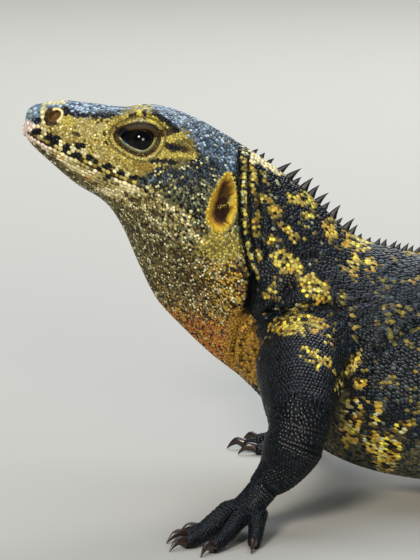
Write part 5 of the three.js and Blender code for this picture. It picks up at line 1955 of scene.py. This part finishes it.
def keratin_scales():
    """Keratin: hard and smooth, so each scale shows a small highlight of its own."""

    def build(tree, shader):
        marked(tree, shader)
        wear = {"Value": grain_of(tree, 2.4).outputs["Fac"]}
        rough = node(tree, "ShaderNodeMapRange", {"To Min": 0.22, "To Max": 0.38}, wear)
        tree.links.new(rough.outputs["Result"], shader.inputs["Roughness"])

    return new_material("keratin scales", {"IOR": 1.55, "Specular IOR Level": 0.17}, build)


def bare_skin():
    """Skin between the scales: softer and duller than they are, and finely grained."""

    def build(tree, shader):
        marked(tree, shader)
        bumped(tree, shader, 0.55, 0.25)

    return new_material("skin", {"Roughness": 0.6, "IOR": 1.45, "Specular IOR Level": 0.15}, build)


def wet_eye():
    """A wet cornea over a dark iris: a sharp reflection lies over the whole eye."""
    eye = {"Roughness": 0.25, "IOR": 1.376, "Specular IOR Level": 0.0}
    film = {"Coat Weight": 0.6, "Coat IOR": 1.376, "Coat Roughness": 0.02}
    return new_material("wet cornea", {**eye, **film}, marked)


def horn_claw():
    """Horn: dark, dense keratin, with a soft polish over fine growth lines."""

    def build(tree, shader):
        marked(tree, shader)
        bumped(tree, shader, 0.35, 0.2)

    return new_material("horn", {"Roughness": 0.3, "IOR": 1.55}, build)


def membrane():
    """The eardrum's membrane: thin, veined and slightly damp, so it takes a dull sheen."""
    return new_material("membrane", {"Roughness": 0.65, "IOR": 1.4, "Specular IOR Level": 0.15}, marked)


# -------------------- pieces in turn

FLESH = ["head", "lower_jaw", "throat", "neck", "chest", "belly", "pelvis"]
FLESH += [f"tail_{part}" for part in ("base", "front", "rear", "tip")]
for leg, info in LEGS.items():
    parts = ("upper_arm", "forearm", "hand") if info["foot"] == "hand" else ("thigh", "shank", "foot")
    FLESH += [f"{part}_{leg}" for part in parts]
SHADED = 0.55  # how bright the skin is under scales: painted shade beneath them
FACE_END = 52
REAR_TRUNK = 195


def skin_piece():
    """The skin of head, body, legs and tail, with its markings, darkened by painted shade where scales stand
    over it.
    """
    points, triangles = skin_solid(chosen("coat_depth"))
    normals = vertex_normals(points, triangles)
    bare = (lid_distance(points) < 1.1) | (ear_distance(points) < 0.2)
    bare = bare & (np.abs(points[:, 1]) > 8) | (nostril_distance(points) < 0.8)
    # Skin under the scales is darkened: painted shade beneath them.
    colours = markings(points, normals) * np.where(bare, 1.0, SHADED)[:, None]
    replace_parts(finished("skin", points, triangles, colours, bare_skin()), *FLESH)
    for found in (surface, unwrap, head_roots, trunk_roots, leg_roots, tail_roots):
        found.cache_clear()


def head_scales():
    """Granules over the head, throat and neck, and the plates along the lips and jaw."""
    roots = head_roots()
    plates = [(row, PEBBLE) for side in SIDE_NAMES for row in lip_roots(side)]
    face, left, right = parted(roots, roots.at[:, 0] < FACE_END, roots.at[:, 1] < 0)
    coat("scales_face", [(face, GRANULE), *plates], 51)
    coat("scales_neck_left", [(left, GRANULE)], 52)
    coat("scales_neck_right", [(right, GRANULE)], 53)


def trunk_scales():
    """Rows of shingles round the trunk, in four pieces."""
    trunk = trunk_roots()
    for name, along in (("front", trunk.at[:, 0] < REAR_TRUNK), ("rear", trunk.at[:, 0] >= REAR_TRUNK)):
        for side, half in (("left", trunk.at[:, 1] < 0), ("right", trunk.at[:, 1] >= 0)):
            coat(f"scales_trunk_{name}_{side}", [(trunk.only(along & half), SHINGLE)], 54)


def joint_scales():
    """Shingles that fill in between the rows of trunk, legs and tail."""
    taken = [head_roots(), trunk_roots(), *sum(tail_roots(), [])]
    for name in LEGS:
        taken += sum(leg_roots(name), [])
    filling = filling_roots(np.concatenate([roots.at for roots in taken]))
    coat("scales_joints", [(filling, SHINGLE)], 56)


def leg_scales():
    """Keeled scales down each leg, and small shingles over its digits."""
    for number, name in enumerate(LEGS):
        lengths, digits = leg_roots(name)
        groups = [(roots, KEELED) for roots in lengths] + [(roots, SHINGLE) for roots in digits]
        coat(f"scales_{name}", groups, 60 + number)


def tail_scales():
    """Whorls of thorns round the tail, with small shingles between."""
    thorns, smalls = tail_roots()
    groups = [(roots, THORN) for roots in thorns] + [(roots, SHINGLE) for roots in smalls]
    coat("scales_tail", groups, 70)


# -------------------- the studio

FLOOR_HALF = 9.0  # in metres, as are the places and sizes of the lamps
LENS = 222.9
SENSOR_WIDTH = 36
# Lights: kind, name, place from the animal's shoulders, size, strength (none: as chosen) and colour. A far
# light has an angle for its size, and lights the whole floor evenly.
LIGHTS = [
    ("SUN", "key", (-0.63, -2.16, 1.17), math.radians(12), None, "#fff4e6"),
    ("SUN", "fill", (0.6, -2.4, 0.40), math.radians(18), 1.4, "#fff4e6"),
    ("AREA", "sky", (0.1, 0.6, 3.0), 4.0, 105, "#e6eefc"),
    ("AREA", "rim", (0.6, 1.8, 1.6), 1.2, 32, "#ffffff"),
]
LIT_PLACE = (75, 0, 90)
SKY_STRENGTH = 0.28


def facing(turned_from, offset):
    """Sets an object at an offset from a place, turned to face the place."""
    turned_from.rotation_euler = (-Vector(offset)).to_track_quat("-Z", "Y").to_euler()
    bpy.context.scene.collection.objects.link(turned_from)


def studio():
    """A wide, level floor, four soft lights, and the camera where the side drawing is seen from."""
    corners = np.array([(-1, -1, 0), (1, -1, 0), (1, 1, 0), (-1, 1, 0)]) * FLOOR_HALF
    triangles = np.array([(0, 1, 2), (0, 2, 3)])
    floor = mesh_object("studio_floor", corners, triangles, drawn=False)
    paper = {"Base Color": (*chosen_colour("floor"), 1), "Roughness": 0.9}
    floor.data.materials.append(new_material("studio paper", paper))
    scene = bpy.context.scene
    scene.world = bpy.data.worlds.new("studio")
    scene.world.use_nodes = True
    sky = scene.world.node_tree.nodes["Background"].inputs
    sky["Color"].default_value = (*chosen_colour("sky"), 1)
    sky["Strength"].default_value = SKY_STRENGTH
    scene.view_settings.view_transform = "Standard"
    for kind, name, offset, size, strength, hexadecimal in LIGHTS:
        light = bpy.data.lights.new(name, kind)
        light.energy, light.color = strength or chosen("key_power"), tone(hexadecimal)
        setattr(light, "angle" if kind == "SUN" else "size", size)
        lamp = bpy.data.objects.new(name, light)
        lamp.location = Vector(place(LIT_PLACE)) + Vector(offset)
        lamp.visible_camera = False
        facing(lamp, offset)
    camera = bpy.data.cameras.new("camera")
    camera.lens, camera.sensor_width = LENS, SENSOR_WIDTH
    holder = bpy.data.objects.new("camera", camera)
    offset = Vector((0, -math.cos(EYE_RISE), math.sin(EYE_RISE))) * EYE_DISTANCE * MM
    holder.location = Vector(place([DRAWING_MIDDLE[0], 0, DRAWING_MIDDLE[1]])) + offset
    facing(holder, offset)
    scene.camera = holder


# -------------------- operators and panel


class IGUANA_OT_skin(Operator):
    """Build the skin, in one piece from lips to tail and toes"""

    bl_idname = "iguana.skin"
    bl_label = "Build Skin"

    def execute(self, context):
        skin_piece()
        return {"FINISHED"}


class IGUANA_OT_eyes(Operator):
    """Build both eyeballs behind their lids"""

    bl_idname = "iguana.eyes"
    bl_label = "Build Eyes"

    def execute(self, context):
        for side in SIDE_NAMES:
            eye_piece(side)
        return {"FINISHED"}


class IGUANA_OT_eardrums(Operator):
    """Build both eardrums on the floors of the ears"""

    bl_idname = "iguana.eardrums"
    bl_label = "Build Eardrums"

    def execute(self, context):
        for side in SIDE_NAMES:
            eardrum_piece(side)
        return {"FINISHED"}


class IGUANA_OT_claws(Operator):
    """Build the five claws of each foot"""

    bl_idname = "iguana.claws"
    bl_label = "Build Claws"

    def execute(self, context):
        for name in LEGS:
            claw_pieces(name)
        return {"FINISHED"}


class IGUANA_OT_crest(Operator):
    """Build the crest of spines from nape to hips"""

    bl_idname = "iguana.crest"
    bl_label = "Build Crest"

    def execute(self, context):
        crest_piece()
        return {"FINISHED"}


class IGUANA_OT_head_scales(Operator):
    """Lay granules and lip plates over the head, throat and neck"""

    bl_idname = "iguana.head_scales"
    bl_label = "Lay Head Scales"

    def execute(self, context):
        head_scales()
        return {"FINISHED"}


class IGUANA_OT_trunk_scales(Operator):
    """Lay rows of shingles round the trunk"""

    bl_idname = "iguana.trunk_scales"
    bl_label = "Lay Trunk Scales"

    def execute(self, context):
        trunk_scales()
        return {"FINISHED"}


class IGUANA_OT_joint_scales(Operator):
    """Lay shingles where trunk, legs and tail meet"""

    bl_idname = "iguana.joint_scales"
    bl_label = "Lay Joint Scales"

    def execute(self, context):
        joint_scales()
        return {"FINISHED"}


class IGUANA_OT_leg_scales(Operator):
    """Lay keeled scales down the legs and over the digits"""

    bl_idname = "iguana.leg_scales"
    bl_label = "Lay Leg Scales"

    def execute(self, context):
        leg_scales()
        return {"FINISHED"}


class IGUANA_OT_tail_scales(Operator):
    """Lay whorls of thorns round the tail"""

    bl_idname = "iguana.tail_scales"
    bl_label = "Lay Tail Scales"

    def execute(self, context):
        tail_scales()
        return {"FINISHED"}


class IGUANA_OT_studio(Operator):
    """Set out the floor, the lights and the camera"""

    bl_idname = "iguana.studio"
    bl_label = "Set Out Studio"

    def execute(self, context):
        studio()
        return {"FINISHED"}


OPERATORS = (
    IGUANA_OT_skin, IGUANA_OT_eyes, IGUANA_OT_eardrums, IGUANA_OT_claws, IGUANA_OT_crest,
    IGUANA_OT_head_scales, IGUANA_OT_trunk_scales, IGUANA_OT_joint_scales, IGUANA_OT_leg_scales,
    IGUANA_OT_tail_scales, IGUANA_OT_studio,
)


class VIEW3D_PT_iguana(Panel):
    """The iguana's sizes, colours and pieces"""

    bl_label = "Iguana"
    bl_category = "Iguana"
    bl_space_type = "VIEW_3D"
    bl_region_type = "UI"

    def draw(self, context):
        for group, kind in (("iguana_sizes", IguanaSizes), ("iguana_colours", IguanaColours)):
            column = self.layout.column()
            for name in kind.__annotations__:
                column.prop(getattr(context.scene, group), name)
        column = self.layout.column()
        for operator in OPERATORS:
            column.operator(operator.bl_idname)


CLASSES = (IguanaSizes, IguanaColours, *OPERATORS, VIEW3D_PT_iguana)


def register():
    """Registers the classes, and gives each scene the sizes and colours."""
    for each in CLASSES:
        bpy.utils.register_class(each)
    bpy.types.Scene.iguana_sizes = PointerProperty(type=IguanaSizes)
    bpy.types.Scene.iguana_colours = PointerProperty(type=IguanaColours)


def unregister():
    """Takes back what register has set."""
    del bpy.types.Scene.iguana_sizes, bpy.types.Scene.iguana_colours
    for each in reversed(CLASSES):
        bpy.utils.unregister_class(each)


def main():
    """Registers the classes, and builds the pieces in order."""
    register()
    bpy.ops.iguana.skin()
    bpy.ops.iguana.eyes()
    bpy.ops.iguana.eardrums()
    bpy.ops.iguana.claws()
    bpy.ops.iguana.crest()
    bpy.ops.iguana.head_scales()
    bpy.ops.iguana.trunk_scales()
    bpy.ops.iguana.joint_scales()
    bpy.ops.iguana.leg_scales()
    bpy.ops.iguana.tail_scales()
    bpy.ops.iguana.studio()


if __name__ == "__main__":
    main()
